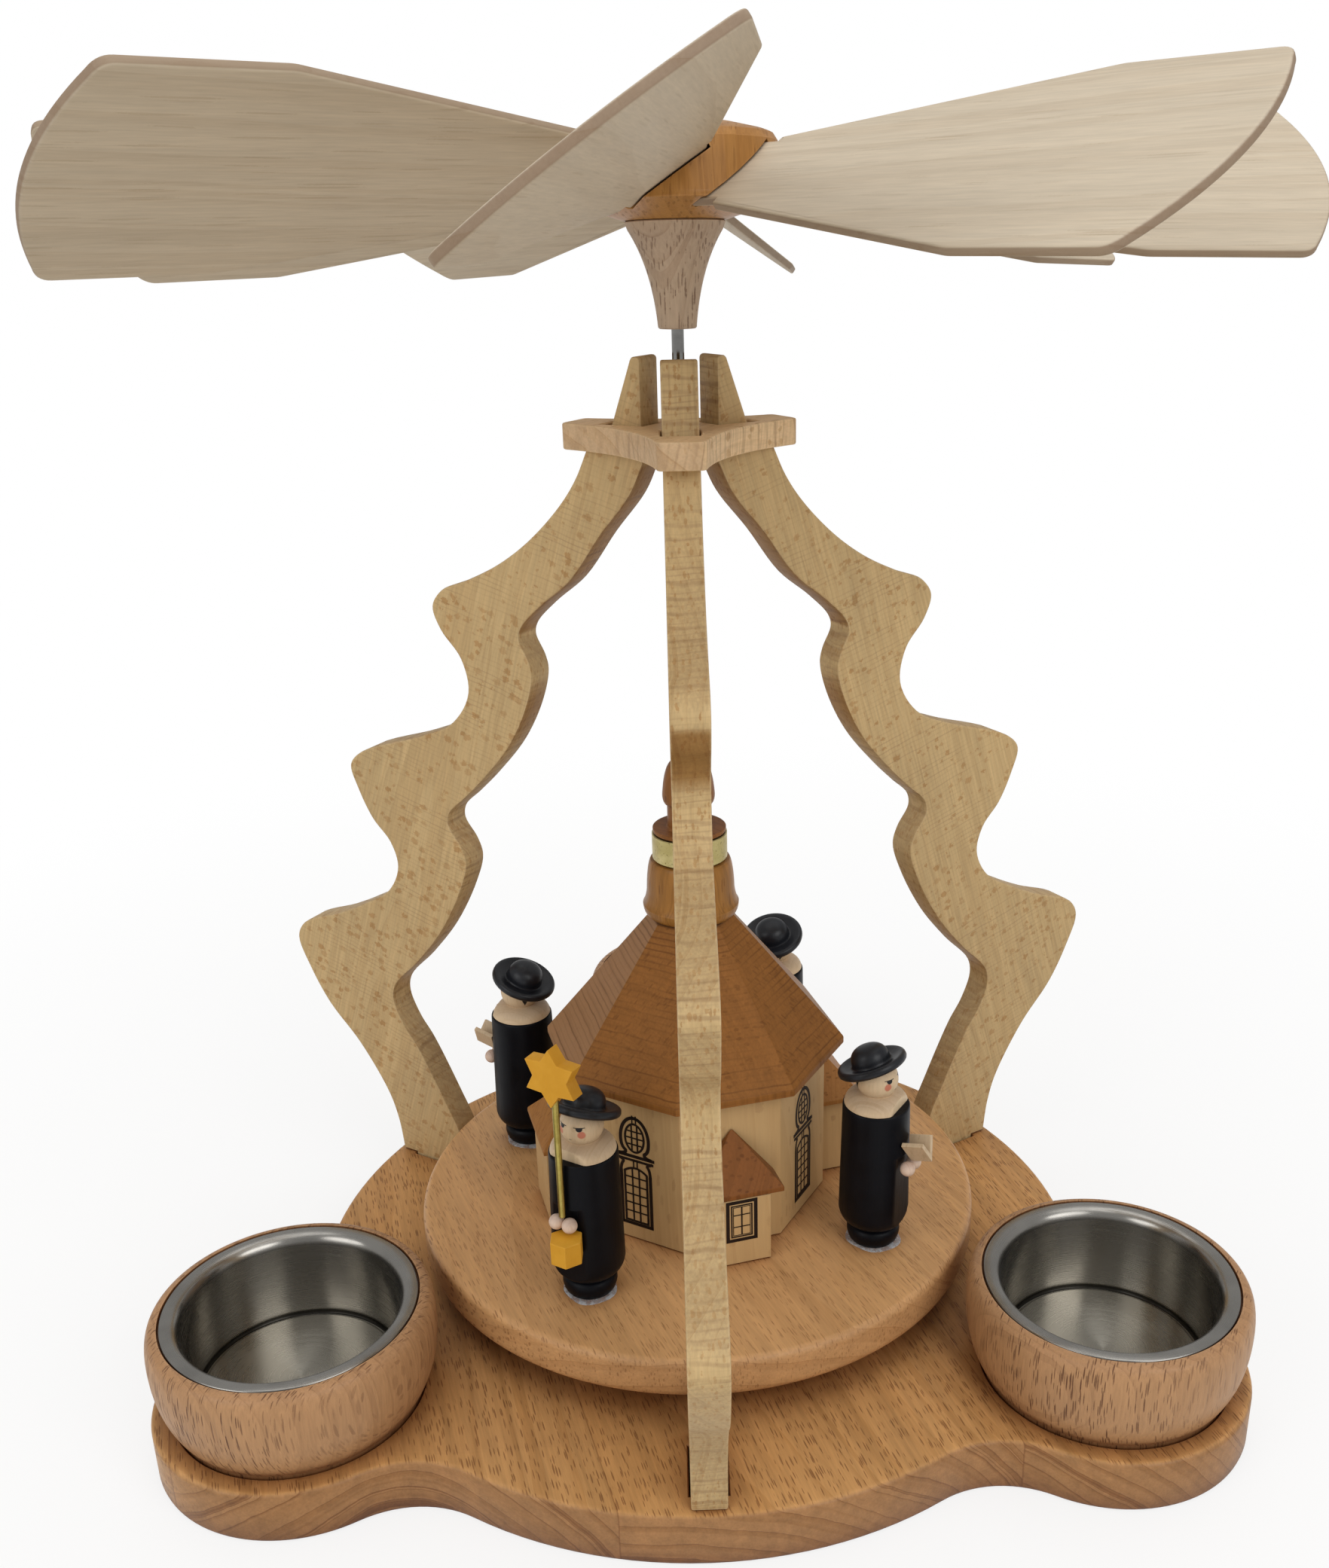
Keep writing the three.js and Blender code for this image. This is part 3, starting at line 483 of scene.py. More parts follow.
def woodMaterial(name, settings):
    settings = {**woodDefaults, **settings}
    material, tree, shader = newMaterial(name)
    figureInputs = [item.name for item in woodFigure.interface.items_tree]
    values = {key: value for key, value in settings.items() if key in figureInputs}
    for key in ("Light", "Dark", "Fleck"):
        values[key] = linear(values[key])
    onEnd, across, outwards = facing(tree)
    if "fleckAside" in settings:
        strength = values["fleckStrength"], settings["fleckAside"]
        values["fleckStrength"] = step(tree, across, 0.3, 0.85, *strength)
    wood = useGroup(tree, woodFigure, Vector=pieceVector(tree), endGrain=onEnd, **values)
    colour = wood["Color"]
    # painted sheen on the faces that lie along the given axis
    if "sideGrain" in settings:
        colour = addPaintedSideSheen(tree, colour, *settings["sideGrain"])
    colour = addMarks(tree, colour, settings, across if settings["quarterSawn"] else outwards)
    # painted shade on undersides
    if "underTint" in settings:
        colour = addPaintedUnderShade(tree, colour, *settings["underTint"])
    if "edgeColour" in settings:
        sawn = step(tree, outwards, 0.35, 0.8, settings["edgeStrength"], 0.0)
        colour = mixColour(tree, sawn, colour, linear(settings["edgeColour"]))
    # edge colour: wear, and a painted highlight
    colour = addWearAndHighlight(tree, colour, settings)
    # painted shade in hollows and where parts touch
    if "contact" in settings:
        colour = addPaintedContactShade(tree, colour, *settings["contact"])
    feed(tree, shader.inputs["Base Color"], colour)
    feed(tree, shader.inputs["Roughness"], wood["Roughness"])
    addBump(tree, shader, wood["Height"], settings["bump"], 0.0002)
    shader.inputs["Specular IOR Level"].default_value = settings["specular"]
    return material


def cloudy(tree, cloud, settings):
    first, second = linear(settings["colour"]), linear(settings["second"])
    return mixColour(tree, step(tree, cloud, 0.3, 0.7), first, second)


def paintMaterial(name, settings):
    # brushed or sprayed paint over turned wood: faint wood relief, thinner on edges, which also carry a
    # painted sheen
    material, tree, shader = newMaterial(name)
    shader.inputs["Specular IOR Level"].default_value = settings["specular"]
    vector = pieceVector(tree)
    cloud = noise(tree, vector, 180.0, 3.0, 0.55)
    grainLines = longNoise(tree, vector, (160, 1700, 1700), 3.0, 0.6)
    colour = cloudy(tree, cloud, settings)
    feed(tree, shader.inputs["Base Color"], addWearAndHighlight(tree, colour, settings))
    feed(tree, shader.inputs["Roughness"], step(tree, cloud * 0.6 + grainLines * 0.4, 0.25, 0.75,
                                                *settings["roughness"]))
    addBump(tree, shader, grainLines + cloud * 0.5, settings["bump"], 0.0001)
    return material


def metalMaterial(name, settings):
    # spun or drawn metal: fine rings about the piece's own Z axis, clouds of polish, small specks
    material, tree, shader = newMaterial(name)
    shader.inputs["Metallic"].default_value = 1.0
    vector = objectVector(tree) if settings.get("onCadNode") else pieceVector(tree)
    x, y, z = split(tree, vector)
    ring = vectorCalc(tree, "LENGTH", gather(tree, x, y, 0.0))
    if "spun" in settings:
        turned = tree.nodes.new("ShaderNodeVectorTransform")
        turned.vector_type = "VECTOR"
        turned.convert_from = "OBJECT"
        turned.convert_to = "WORLD"
        feed(tree, turned.inputs[0], gather(tree, y * -1.0, x, 0.0))
        feed(tree, shader.inputs["Tangent"], vectorCalc(tree, "NORMALIZE", turned.outputs[0]))
        shader.inputs["Anisotropic"].default_value = settings["spun"]
        shader.inputs["Anisotropic Rotation"].default_value = 0.25
    lines = noise(tree, gather(tree, ring * settings["lines"], 0.0, z * settings["lines"]), 1.0, 3.0, 0.6)
    cloud = noise(tree, vector, settings["cloud"], 3.0, 0.55)
    speck = noise(tree, vector, settings["speckScale"], 2.0, 0.6)
    colour = cloudy(tree, cloud, settings)
    specks = step(tree, speck, 0.6, 0.75, 0.0, settings["speck"])
    colour = mixColour(tree, specks, colour, linear(settings["speckColour"]))
    if "bottom" in settings:
        # painted reflection and shade: a paler floor below a height, and a dark crease round it, in metres
        height, light, edge, dark = settings["bottom"]
        low = step(tree, z, height, height + 0.0006, 1.0, 0.0)
        creaseShade = low * step(tree, ring, edge, edge + 0.0002)
        colour = mixColour(tree, creaseShade, mixColour(tree, low, colour, linear(light)), linear(dark))
    feed(tree, shader.inputs["Base Color"], colour)
    feed(tree, shader.inputs["Roughness"], step(tree, cloud * 0.5 + lines * 0.5, 0.3, 0.7,
                                                *settings["roughness"]))
    addBump(tree, shader, lines * 0.6 + speck * settings["relief"], settings["bump"], 0.00005)
    return material


# meshes in millimetres; every piece ends in metres, in its place, with its object at the origin

def arcPoints(centreX, centreY, radius, start, end, steps):
    # start and end in radians; the last point is left to what follows
    return [(centreX + radius * math.cos(start + (end - start) * i / steps),
             centreY + radius * math.sin(start + (end - start) * i / steps)) for i in range(steps)]


def ringPoints(radius, count, centre=(0, 0), radiusY=None):
    # a whole circle, or an ellipse where a second radius is given
    radiusY = radiusY or radius
    return [(centre[0] + radius * math.cos(2 * math.pi * i / count),
             centre[1] + radiusY * math.sin(2 * math.pi * i / count)) for i in range(count)]


def turnPoint(point, degrees):
    angle = math.radians(degrees)
    return (point[0] * math.cos(angle) - point[1] * math.sin(angle),
            point[0] * math.sin(angle) + point[1] * math.cos(angle))


def bezier(start, control, end, steps):
    points = []
    for i in range(1, steps + 1):
        t = i / steps
        points.append(tuple((1 - t) ** 2 * a + 2 * t * (1 - t) * b + t * t * c for a, b,
                            c in zip(start, control, end)))
    return points


def softened(points, closed=False, steps=4):
    # points are (x, y) or (x, y, r); a corner with an r is rounded with that radius
    result = []
    count = len(points)
    for i, point in enumerate(points):
        corner = Vector(point[:2])
        radius = point[2] if len(point) > 2 else 0
        if not radius or (not closed and i in (0, count - 1)):
            result.append(tuple(corner))
            continue
        before = Vector(points[i - 1][:2]) - corner
        after = Vector(points[(i + 1) % count][:2]) - corner
        half = before.angle(after) / 2
        reach = min(radius / math.tan(half), before.length * 0.49, after.length * 0.49)
        centre = corner + (before.normalized() + after.normalized()).normalized() * (reach / math.cos(half))
        first = corner + before.normalized() * reach - centre
        last = corner + after.normalized() * reach - centre
        whole = first.angle_signed(last)
        for k in range(steps + 1):
            angle = -whole * k / steps
            result.append((centre.x + first.x * math.cos(angle) - first.y * math.sin(angle),
                           centre.y + first.x * math.sin(angle) + first.y * math.cos(angle)))
    return result


def spline(points, steps):
    # centripetal spline through the points, as the sawn edges of the arms follow
    padded = [tuple(2 * a - b for a, b in zip(points[0], points[1]))] + list(points)
    padded.append(tuple(2 * a - b for a, b in zip(points[-1], points[-2])))
    result = [points[0]]
    for i in range(1, len(padded) - 2):
        p = [Vector(q) for q in padded[i - 1:i + 3]]
        gaps = [max((p[k + 1] - p[k]).length_squared ** 0.25, 1e-4) for k in range(3)]
        start = ((p[1] - p[0]) / gaps[0] - (p[2] - p[0]) / (gaps[0] + gaps[1]) + (p[2] - p[1])
                 / gaps[1]) * gaps[1]
        end = ((p[2] - p[1]) / gaps[1] - (p[3] - p[1]) / (gaps[1] + gaps[2]) + (p[3] - p[2])
               / gaps[2]) * gaps[1]
        for k in range(1, steps + 1):
            t = k / steps
            q = ((2 * t ** 3 - 3 * t ** 2 + 1) * p[1] + (t ** 3 - 2 * t ** 2 + t) * start
                 + (3 * t ** 2 - 2 * t ** 3) * p[2] + (t ** 3 - t ** 2) * end)
            result.append(tuple(q))
    return result


def area(loop):
    return sum(a[0] * b[1] - b[0] * a[1] for a, b in zip(loop, loop[1:] + loop[:1])) / 2


def offsetLoop(loop, distance):
    # moves a closed anticlockwise outline inwards
    moved = []
    count = len(loop)
    for i in range(count):
        here = Vector(loop[i][:2])
        into = (here - Vector(loop[i - 1][:2])).normalized()
        out = (Vector(loop[(i + 1) % count][:2]) - here).normalized()
        first = Vector((-into.y, into.x))
        second = Vector((-out.y, out.x))
        both = first + second
        scale = 2 / max(both.length_squared, 0.6)
        moved.append(tuple(here + both * scale * distance))
    return moved


def turnedMesh(profile, segments):
    # a closed profile of (radius, height), anticlockwise from the bottom of the axis to its top
    mesh = bmesh.new()
    rings = []
    for radius, height in profile:
        if radius < 1e-6:
            rings.append([mesh.verts.new((0, 0, height))])
        else:
            rings.append([mesh.verts.new((radius * math.cos(2 * math.pi * i / segments),
                                          radius * math.sin(2 * math.pi * i / segments), height))
                          for i in range(segments)])
    closed = profile[0][0] > 1e-6
    pairs = list(zip(rings, rings[1:])) + ([(rings[-1], rings[0])] if closed else [])
    for low, high in pairs:
        for i in range(segments):
            j = (i + 1) % segments
            if len(low) == 1 and len(high) == 1:
                continue
            if len(low) == 1:
                mesh.faces.new((low[0], high[j], high[i]))
            elif len(high) == 1:
                mesh.faces.new((low[i], low[j], high[0]))
            else:
                mesh.faces.new((low[i], low[j], high[j], high[i]))
    return mesh


def boardMesh(outline, thickness, edge=0.4, steps=3, pockets=(), flatBand=0.6):
    # a flat board from z 0 up, edges rounded; pockets are (outline, depth), with no depth for a way through
    if area(outline) < 0:
        outline = outline[::-1]
    mesh = bmesh.new()

    def loopAt(loop, height):
        return [mesh.verts.new((x, y, height)) for x, y in loop]

    def wall(low, high):
        count = len(low)
        for i in range(count):
            j = (i + 1) % count
            mesh.faces.new((low[i], low[j], high[j], high[i]))

    def cap(loops, height):
        flat = [[Vector((v.co.x, v.co.y, 0)) for v in loop] for loop in loops]
        verts = [v for loop in loops for v in loop]
        for triangle in tessellate_polygon(flat):
            try:
                mesh.faces.new([verts[k] for k in triangle])
            except ValueError:
                pass

    levels = []
    if edge:
        levels.append((edge + flatBand, 0.0))
        for k in range(steps + 1):
            angle = math.pi / 2 * k / steps
            levels.append((edge * (1 - math.sin(angle)), edge * (1 - math.cos(angle))))
        for k in range(steps + 1):
            angle = math.pi / 2 * k / steps
            levels.append((edge * (1 - math.cos(angle)), thickness - edge * (1 - math.sin(angle))))
        levels.append((edge + flatBand, thickness))
    else:
        levels = [(0.0, 0.0), (0.0, thickness)]
    loops = [loopAt(offsetLoop(outline, inset) if inset else outline, height) for inset, height in levels]
    for low, high in zip(loops, loops[1:]):
        wall(low, high)
    topHoles = []
    bottomHoles = []
    for shape, depth in pockets:
        if area(shape) < 0:
            shape = shape[::-1]
        lip = 0.25
        mouth = loopAt(offsetLoop(shape, -lip), thickness)
        below = loopAt(shape, thickness - lip)
        topHoles.append(mouth)
        wall(below, mouth)
        if depth is None:
            foot = loopAt(shape, lip)
            under = loopAt(offsetLoop(shape, -lip), 0.0)
            wall(foot, below)
            wall(under, foot)
            bottomHoles.append(under)
        else:
            floor = loopAt(shape, thickness - depth)
            wall(floor, below)
            mesh.faces.new(floor)
    cap([loops[0]] + bottomHoles, 0.0)
    cap([loops[-1]] + topHoles, thickness)
    bmesh.ops.recalc_face_normals(mesh, faces=mesh.faces)
    return mesh


def shellCopy(node, merge=1e-6):
    # a merged copy of a CAD node's own mesh, in millimetres, with coplanar triangles joined to faces
    mesh = bmesh.new()
    mesh.from_mesh(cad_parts[node].data)
    bmesh.ops.remove_doubles(mesh, verts=mesh.verts, dist=merge)
    bmesh.ops.dissolve_limit(mesh, angle_limit=math.radians(0.5), verts=mesh.verts, edges=mesh.edges)
    bmesh.ops.scale(mesh, vec=(1000, 1000, 1000), verts=mesh.verts)
    return mesh


def addPart(whole, part, place):
    # moves one bmesh into another
    part.transform(place)
    data = bpy.data.meshes.new("part")
    part.to_mesh(data)
    part.free()
    whole.from_mesh(data)
    bpy.data.meshes.remove(data)


def storeGrain(data, grain, smooth):
    # the grain attribute, and for turned pieces and boards the facing
    turn = grain.to_3x3()
    normals = [vertex.normal.copy() for vertex in data.vertices]
    along = data.attributes.new("grain", "FLOAT_VECTOR", "POINT")
    side = data.attributes.new("facing", "FLOAT_VECTOR", "POINT")
    for i, vertex in enumerate(data.vertices):
        along.data[i].vector = (grain @ vertex.co) * mm
        side.data[i].vector = [abs(c) for c in turn @ normals[i]] if smooth else (0, 0, 1)


def finishPiece(name, mesh, material, body, nodes=(), place=None, grain=None, sharp=32, bevel=None):
    # mesh in millimetres; place puts it on the object; grain turns its own coordinates along the wood
    place = place or Matrix.Identity(4)
    grain = grain or Matrix.Identity(4)
    data = bpy.data.meshes.new(name)
    mesh.normal_update()
    mesh.to_mesh(data)
    mesh.free()
    storeGrain(data, grain, bevel is None)
    for vertex in data.vertices:
        vertex.co = (place @ vertex.co) * mm
    data.shade_smooth()
    data.set_sharp_from_angle(angle=math.radians(sharp))
    piece = bpy.data.objects.new(name, data)
    bpy.context.scene.collection.objects.link(piece)
    data.materials.append(material)
    if bevel:
        rounding = piece.modifiers.new("softEdge", "BEVEL")
        rounding.limit_method = "ANGLE"
        rounding.angle_limit = math.radians(30)
        rounding.width = bevel * mm
        rounding.segments = 2
        rounding.harden_normals = True
    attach(piece, body)
    if nodes:
        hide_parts(*nodes)
    return piece


def turnAbout(degrees, axis="Z"):
    return Matrix.Rotation(math.radians(degrees), 4, axis)


def shift(x, y, z):
    return Matrix.Translation((x, y, z))


uprightGrain = Matrix(((0, 0, 1, 0), (1, 0, 0, 0), (0, 1, 0, 0), (0, 0, 0, 1)))  # grain along the piece's Z

sharedSizes = {"seat": 0.3, "bore": 1.35, "baseTop": 10.8, "turntableTop": 25.3, "lobeCentre": 90}
baseTop = sharedSizes["baseTop"]
seat = sharedSizes["seat"]


# base board

baseSettings = {
    "disc": 81.5, "lobe": 28, "fillet": 20, "edge": 0.9,
    "recess": 23.9, "recessDepth": 2, "bearing": 4.9, "bearingDepth": 5.5,
    "mortise": (64.2, 76.3, 3.55, 5.3),
    "grainDirection": 106,
}
lobeDirections = {"Back": 90, "FrontLeft": 210, "FrontRight": 330}
armDirections = {"Front": 270, "Right": 30, "Left": 150}

beechBoard = woodMaterial("beechBoard", {
    "Light": "#c8975f", "Dark": "#b1804a", "Fleck": "#6b3c1e", "ringWidth": 0.0042, "ringContrast": 0.5,
    "heartDepth": 0.045, "warp": 0.006, "fleckLength": 0.0038, "fleckWidth": 0.00042, "fleckAmount": 0.78,
    "fleckStrength": 0.7, "mottle": 0.28, "staveWidth": 0.0746, "seed": 3.0, "bump": 0.35, "rubbed": 0.45,
    "rubbedColour": "#d6ab7c", "endDepth": 0.95, "streaks": 0.6, "fleckFray": 0.15,
    # the last entry paints shade into hollows and where parts touch: reach in metres and a shade tint
    "contact": (0.009, "#a5826a"),
})


def baseOutline(settings):
    filletCentre = settings["disc"] + settings["fillet"]
    lobeCentre = sharedSizes["lobeCentre"]
    both = settings["lobe"] + settings["fillet"]
    offAxis = math.acos((filletCentre ** 2 + lobeCentre ** 2 - both ** 2) / (2 * filletCentre * lobeCentre))
    outline = []
    for direction in lobeDirections.values():
        axis = math.radians(direction)
        lobe = Vector((math.cos(axis), math.sin(axis))) * lobeCentre
        before = Vector((math.cos(axis - offAxis), math.sin(axis - offAxis))) * filletCentre
        after = Vector((math.cos(axis + offAxis), math.sin(axis + offAxis))) * filletCentre
        toBefore = math.atan2(*(before - lobe).yx)
        toAfter = math.atan2(*(after - lobe).yx)
        while toAfter < toBefore:
            toAfter += 2 * math.pi
        start = axis - offAxis + math.pi
        end = start - (start - toBefore - math.pi) % (2 * math.pi)
        outline += arcPoints(before.x, before.y, settings["fillet"], start, end, 14)
        outline += arcPoints(lobe.x, lobe.y, settings["lobe"], toBefore, toAfter, 56)
        start = toAfter + math.pi
        end = start - (start - axis - offAxis - math.pi) % (2 * math.pi)
        outline += arcPoints(after.x, after.y, settings["fillet"], start, end, 14)
        outline += arcPoints(0, 0, settings["disc"], axis + offAxis, axis + 2 * math.pi / 3 - offAxis, 26)
    return outline


def makeBase(settings):
    pockets = [(ringPoints(settings["bearing"], 32), settings["bearingDepth"])]
    for direction in lobeDirections.values():
        centre = turnPoint((sharedSizes["lobeCentre"], 0), direction)
        pockets.append((ringPoints(settings["recess"], 96, centre), settings["recessDepth"]))
    inner, outer, half, depth = settings["mortise"]
    for direction in armDirections.values():
        corners = [(inner, -half), (outer, -half), (outer, half), (inner, half)]
        pockets.append(([turnPoint(p, direction) for p in corners], depth))
    board = boardMesh(baseOutline(settings), baseTop, settings["edge"], 3, pockets)
    finishPiece("baseBoard", board, beechBoard, "stand", ["base_board"],
                grain=turnAbout(-settings["grainDirection"]))


makeBase(baseSettings)
print("base made")


# candle cups and their metal inserts

cupSettings = {
    "foot": 23.6, "belly": 26.9, "bellyHeight": 15.5, "rim": 25, "height": 21.5, "floor": 2.6, "bottom": 9.1,
    "turns": {"Back": 40, "FrontLeft": 66, "FrontRight": 178},
    "nodes": {"Back": ("cup_back", "insert_back"), "FrontLeft": ("cup_front_left", "insert_front_left"),
              "FrontRight": ("cup_front_right", "insert_front_right")},
    "insertBodies": {"Back": "insert_b", "FrontLeft": "insert_fl", "FrontRight": "insert_fr"},
}
insertSettings = {
    "mouth": 20.5, "floor": 19.3, "depth": 17.4, "flange": 23.9, "sheet": 0.8, "lip": 1.5, "groove": 0.45,
    "top": 30.6,
}

beechCup = woodMaterial("beechCup", {
    "Light": "#b58a61", "Dark": "#a17853", "Fleck": "#55301d", "ringWidth": 0.0036, "ringContrast": 0.45,
    "heartDepth": 0.05, "warp": 0.004, "fleckLength": 0.0052, "fleckWidth": 0.00036, "fleckAmount": 1.0,
    "fleckStrength": 0.95, "fleckDepth": 7.0, "mottle": 0.24, "seed": 11.0, "gloss": 0.46, "bump": 0.6,
    "rubbed": 0.35, "rubbedColour": "#d2a981", "fleckAside": 0.35, "endDepth": 0.15, "specular": 0.3,
    # the last entry paints shade into hollows and where parts touch: reach in metres and a shade tint
    "fleckFray": 0.15, "contact": (0.004, "#a98a70"),
})
insertMetal = metalMaterial("insertMetal", {
    "colour": "#9f9c96", "second": "#8d8a85", "lines": 5200, "cloud": 90, "speckScale": 2600,
    "speck": 0.35, "speckColour": "#8f897f", "relief": 0.25, "roughness": (0.22, 0.32), "bump": 0.05,
    # the bottom entry paints a paler reflection on the floor and shade in the crease round it
    "spun": 0.8, "bottom": (-0.0172, "#b3aea2", 0.0187, "#35332f"),
})


def cupProfile(settings):
    foot = (settings["foot"], 2.0)
    belly = (settings["belly"], settings["bellyHeight"])
    height = settings["height"]
    rebate = insertSettings["flange"] + seat
    sheet = insertSettings["sheet"] + seat
    profile = [(0, 0), (settings["foot"] - 0.4, 0), (settings["foot"], 0.4), foot]
    profile += bezier(foot, (settings["belly"], settings["bellyHeight"] * 0.45), belly, 14)
    profile += bezier(belly, (settings["belly"], height - 0.6), (settings["rim"] + 0.1, height - 0.25), 10)
    profile += [(settings["rim"] - 0.35, height), (rebate, height), (rebate, height - sheet),
                (insertSettings["mouth"] + sheet, height - sheet),
                (insertSettings["floor"] + sheet, settings["floor"]), (0, settings["floor"])]
    return profile


def insertProfile(settings):
    mouth, flange, sheet, lip = settings["mouth"], settings["flange"], settings["sheet"], settings["lip"]
    floor, depth, groove = settings["floor"], settings["depth"], settings["groove"]
    under = [(0, -depth - sheet), (floor + sheet - 0.3, -depth - sheet),
             (floor + sheet, -depth - sheet + 0.3), (mouth + sheet, -sheet - 0.2),
             (mouth + sheet + 0.2, -sheet)]
    rolled = softened([(flange - 0.6, -sheet), (flange, -sheet, 0.35), (flange, 0, 0.35),
                       (flange - 1.2, 0)], steps=3)
    inside = bezier((mouth + lip + 0.6, 0), (mouth + 0.05, -0.05), (mouth - 0.08, -lip - 0.9), 8)
    bottom = [(floor + 0.1, -depth + 0.5)]
    bottom += bezier((floor + 0.1, -depth + 0.5), (floor, -depth - groove), (floor - 0.35, -depth - groove),
                     4)
    bottom += [(floor - 0.75, -depth - groove)]
    bottom += bezier((floor - 0.75, -depth - groove), (floor - 0.95, -depth), (floor - 1.5, -depth), 4)
    bottom += [(floor * 0.6, -depth), (0, -depth)]
    return under + rolled + [(mouth + lip + 0.6, 0)] + inside + bottom


def makeCups():
    for name, direction in lobeDirections.items():
        place = turnAbout(direction) @ shift(sharedSizes["lobeCentre"], 0, 0)
        cupNode, insertNode = cupSettings["nodes"][name]
        figure = shift(direction / 3, 0, 0) @ (uprightGrain @ turnAbout(cupSettings["turns"][name]))
        finishPiece("cup" + name, turnedMesh(cupProfile(cupSettings), 128), beechCup, "stand",
                    [cupNode], place @ shift(0, 0, cupSettings["bottom"]), figure)
        finishPiece("insert" + name, turnedMesh(insertProfile(insertSettings), 128), insertMetal,
                    cupSettings["insertBodies"][name], [insertNode],
                    place @ shift(0, 0, insertSettings["top"]), turnAbout(direction))


makeCups()
print("cups and inserts made")


# sawn arms and the collar plate on their tongues

armSettings = {
    "thickness": 6.5, "edge": 0.35, "shoulder": 169,
    "tenon": (64.5, 76, 5),  # inner and outer radius, depth
    "tongue": (6.2, 14.2, 8.0, 16.7),  # inner radius, outer radius below and at the top, height
    "grainSlope": (-56, 169),  # the wood's length runs this far inwards for this rise
    "outer": [(79.8, 0), (80.8, 7.9), (83, 14.8), (90.3, 26.4), (98.5, 35.4), (103.4, 44), (105.9, 51.3),
              (103.6, 55.4), (92, 60.3), (84.5, 64), (76.6, 68.9), (73.2, 75.4), (74.6, 81), (79, 86),
              (82.3, 92.6), (83.7, 98), (80.1, 101.5), (62.9, 107.5), (54.5, 111.5), (49.8, 118.6),
              (51, 125.6), (55.6, 131.3), (57.2, 136), (54.6, 139.5), (47.8, 142.2), (40.1, 145.9),
              (32.5, 151.1), (25.1, 158.1), (21, 163.5), (18.2, 169)],
    "inner": [(61, 0), (62.4, 8.9), (65.7, 16.2), (72.5, 29.4), (76.1, 34.6), (78.4, 40.6), (77.5, 44.7),
              (70, 52.5), (62.3, 61.9), (56.2, 72.7), (53.9, 79.6), (55, 83.4), (57.9, 87.8), (57.4, 90.7),
              (53, 94.8), (47.7, 99.9), (40.2, 108.5), (35.4, 117.3), (33.6, 124), (34.2, 127),
              (36.2, 131.2), (35.5, 133.6), (30.8, 138.2), (23.3, 144.1), (16, 153.3), (9.2, 161.2),
              (6.2, 167)],
}
collarSettings = {
    "tip": 23, "half": 4.4, "round": 1.6, "waist": 11.4, "thickness": 4.8, "bottom": 180.1, "edge": 0.35,
    "slot": (5.9, 14.9, 3.55),  # inner and outer radius, half width
}

armWood = woodMaterial("armWood", {
    "Light": "#c7aa7a", "Dark": "#b69667", "Fleck": "#a2733b", "ringWidth": 0.0028, "heartDepth": 0.06,
    "warp": 0.006, "fleckLength": 0.0019, "fleckWidth": 0.0008, "fleckDepth": 3.2, "fleckAmount": 0.9,
    "fleckStrength": 0.6, "mottle": 0.26, "seed": 5.0, "gloss": 0.55, "endDepth": 0.3, "rubbed": 0.5,
    "rubbedColour": "#dcc6a0", "marks": (380.0, 0.8, 0.42, 0.04),
    "marksSecond": (1000.0, 1.0, 0.28, -0.06), "marksOnFace": (0.0, 1.0), "marksColour": "#7d5a3a",
    "heartAside": 0.4, "quarterSawn": True, "fleckFray": 0.75, "streaks": 0.2,
    # the last entry paints shade on undersides between two heights
    "underTint": (0.112, 0.128, "#cdb48e"),
})
collarWood = woodMaterial("collarWood", {
    "Light": "#e2c195", "Dark": "#d2ad7e", "Fleck": "#a87b45", "ringWidth": 0.0045, "heartDepth": 0.05,
    "warp": 0.005, "fleckWidth": 0.0008, "fleckAmount": 0.6, "fibre": 0.4, "mottle": 0.24, "seed": 6.0,
    "gloss": 0.55, "endDepth": 0.5, "rubbed": 0.5, "rubbedColour": "#e6cda2",
    "marks": (420.0, 0.9, 0.45, 0.05), "marksSecond": (1150.0, 1.2, 0.4, -0.1), "marksOnFace": (0.0, 0.6),
    "marksColour": "#80593a", "streaks": 0.2,
})


def armOutline(settings):
    tenonIn, tenonOut, tenonDepth = settings["tenon"]
    tongueIn, tongueOut, tongueTop, tongueHeight = settings["tongue"]
    shoulder = settings["shoulder"]
    top = shoulder + tongueHeight
    outline = [(tenonIn, 0), (tenonIn, -tenonDepth), (tenonOut, -tenonDepth), (tenonOut, 0)]
    outline += spline(settings["outer"], 6)
    outline += softened([(tongueOut + 2, shoulder), (tongueOut, shoulder), (tongueTop, top, 0.9),
                         (tongueIn, top, 0.7), (tongueIn, shoulder)], steps=4)[1:-1]
    outline += spline(settings["inner"], 6)[::-1]
    return outline


def makeArms(settings):
    stand = Matrix(((1, 0, 0, 0), (0, 0, -1, 0), (0, 1, 0, 0), (0, 0, 0, 1)))  # the board's Y becomes up
    run, rise = settings["grainSlope"]
    lean = math.degrees(math.atan2(rise, run))
    for name, direction in armDirections.items():
        place = turnAbout(direction) @ shift(0, settings["thickness"] / 2, baseTop + seat) @ stand
        board = boardMesh(armOutline(settings), settings["thickness"], settings["edge"], 2, flatBand=0.3)
        finishPiece("arm" + name, board, armWood, "stand", ["arm_" + name.lower()], place,
                    shift(direction, direction / 9, 40) @ turnAbout(90, "X") @ turnAbout(-lean))


def collarOutline(settings):
    tip, half, rounding, waist = settings["tip"], settings["half"], settings["round"], settings["waist"]
    start = tip - rounding
    chord = math.hypot(start, half)
    control = 2 * waist - chord * math.cos(math.pi / 3 - math.atan2(half, start))
    outline = []
    for direction in sorted(armDirections.values()):
        end = [(start, -half), *bezier((start, -half), (tip, -half), (tip, rounding - half), 5),
               (tip, half - rounding)]
        end += bezier((tip, half - rounding), (tip, half), (start, half), 5)
        outline += [turnPoint(p, direction) for p in end]
        first = turnPoint((start, half), direction)
        last = turnPoint((start, -half), direction + 120)
        middle = turnPoint((control, 0), direction + 60)
        outline += bezier(first, middle, last, 22)[:-1]
    return outline


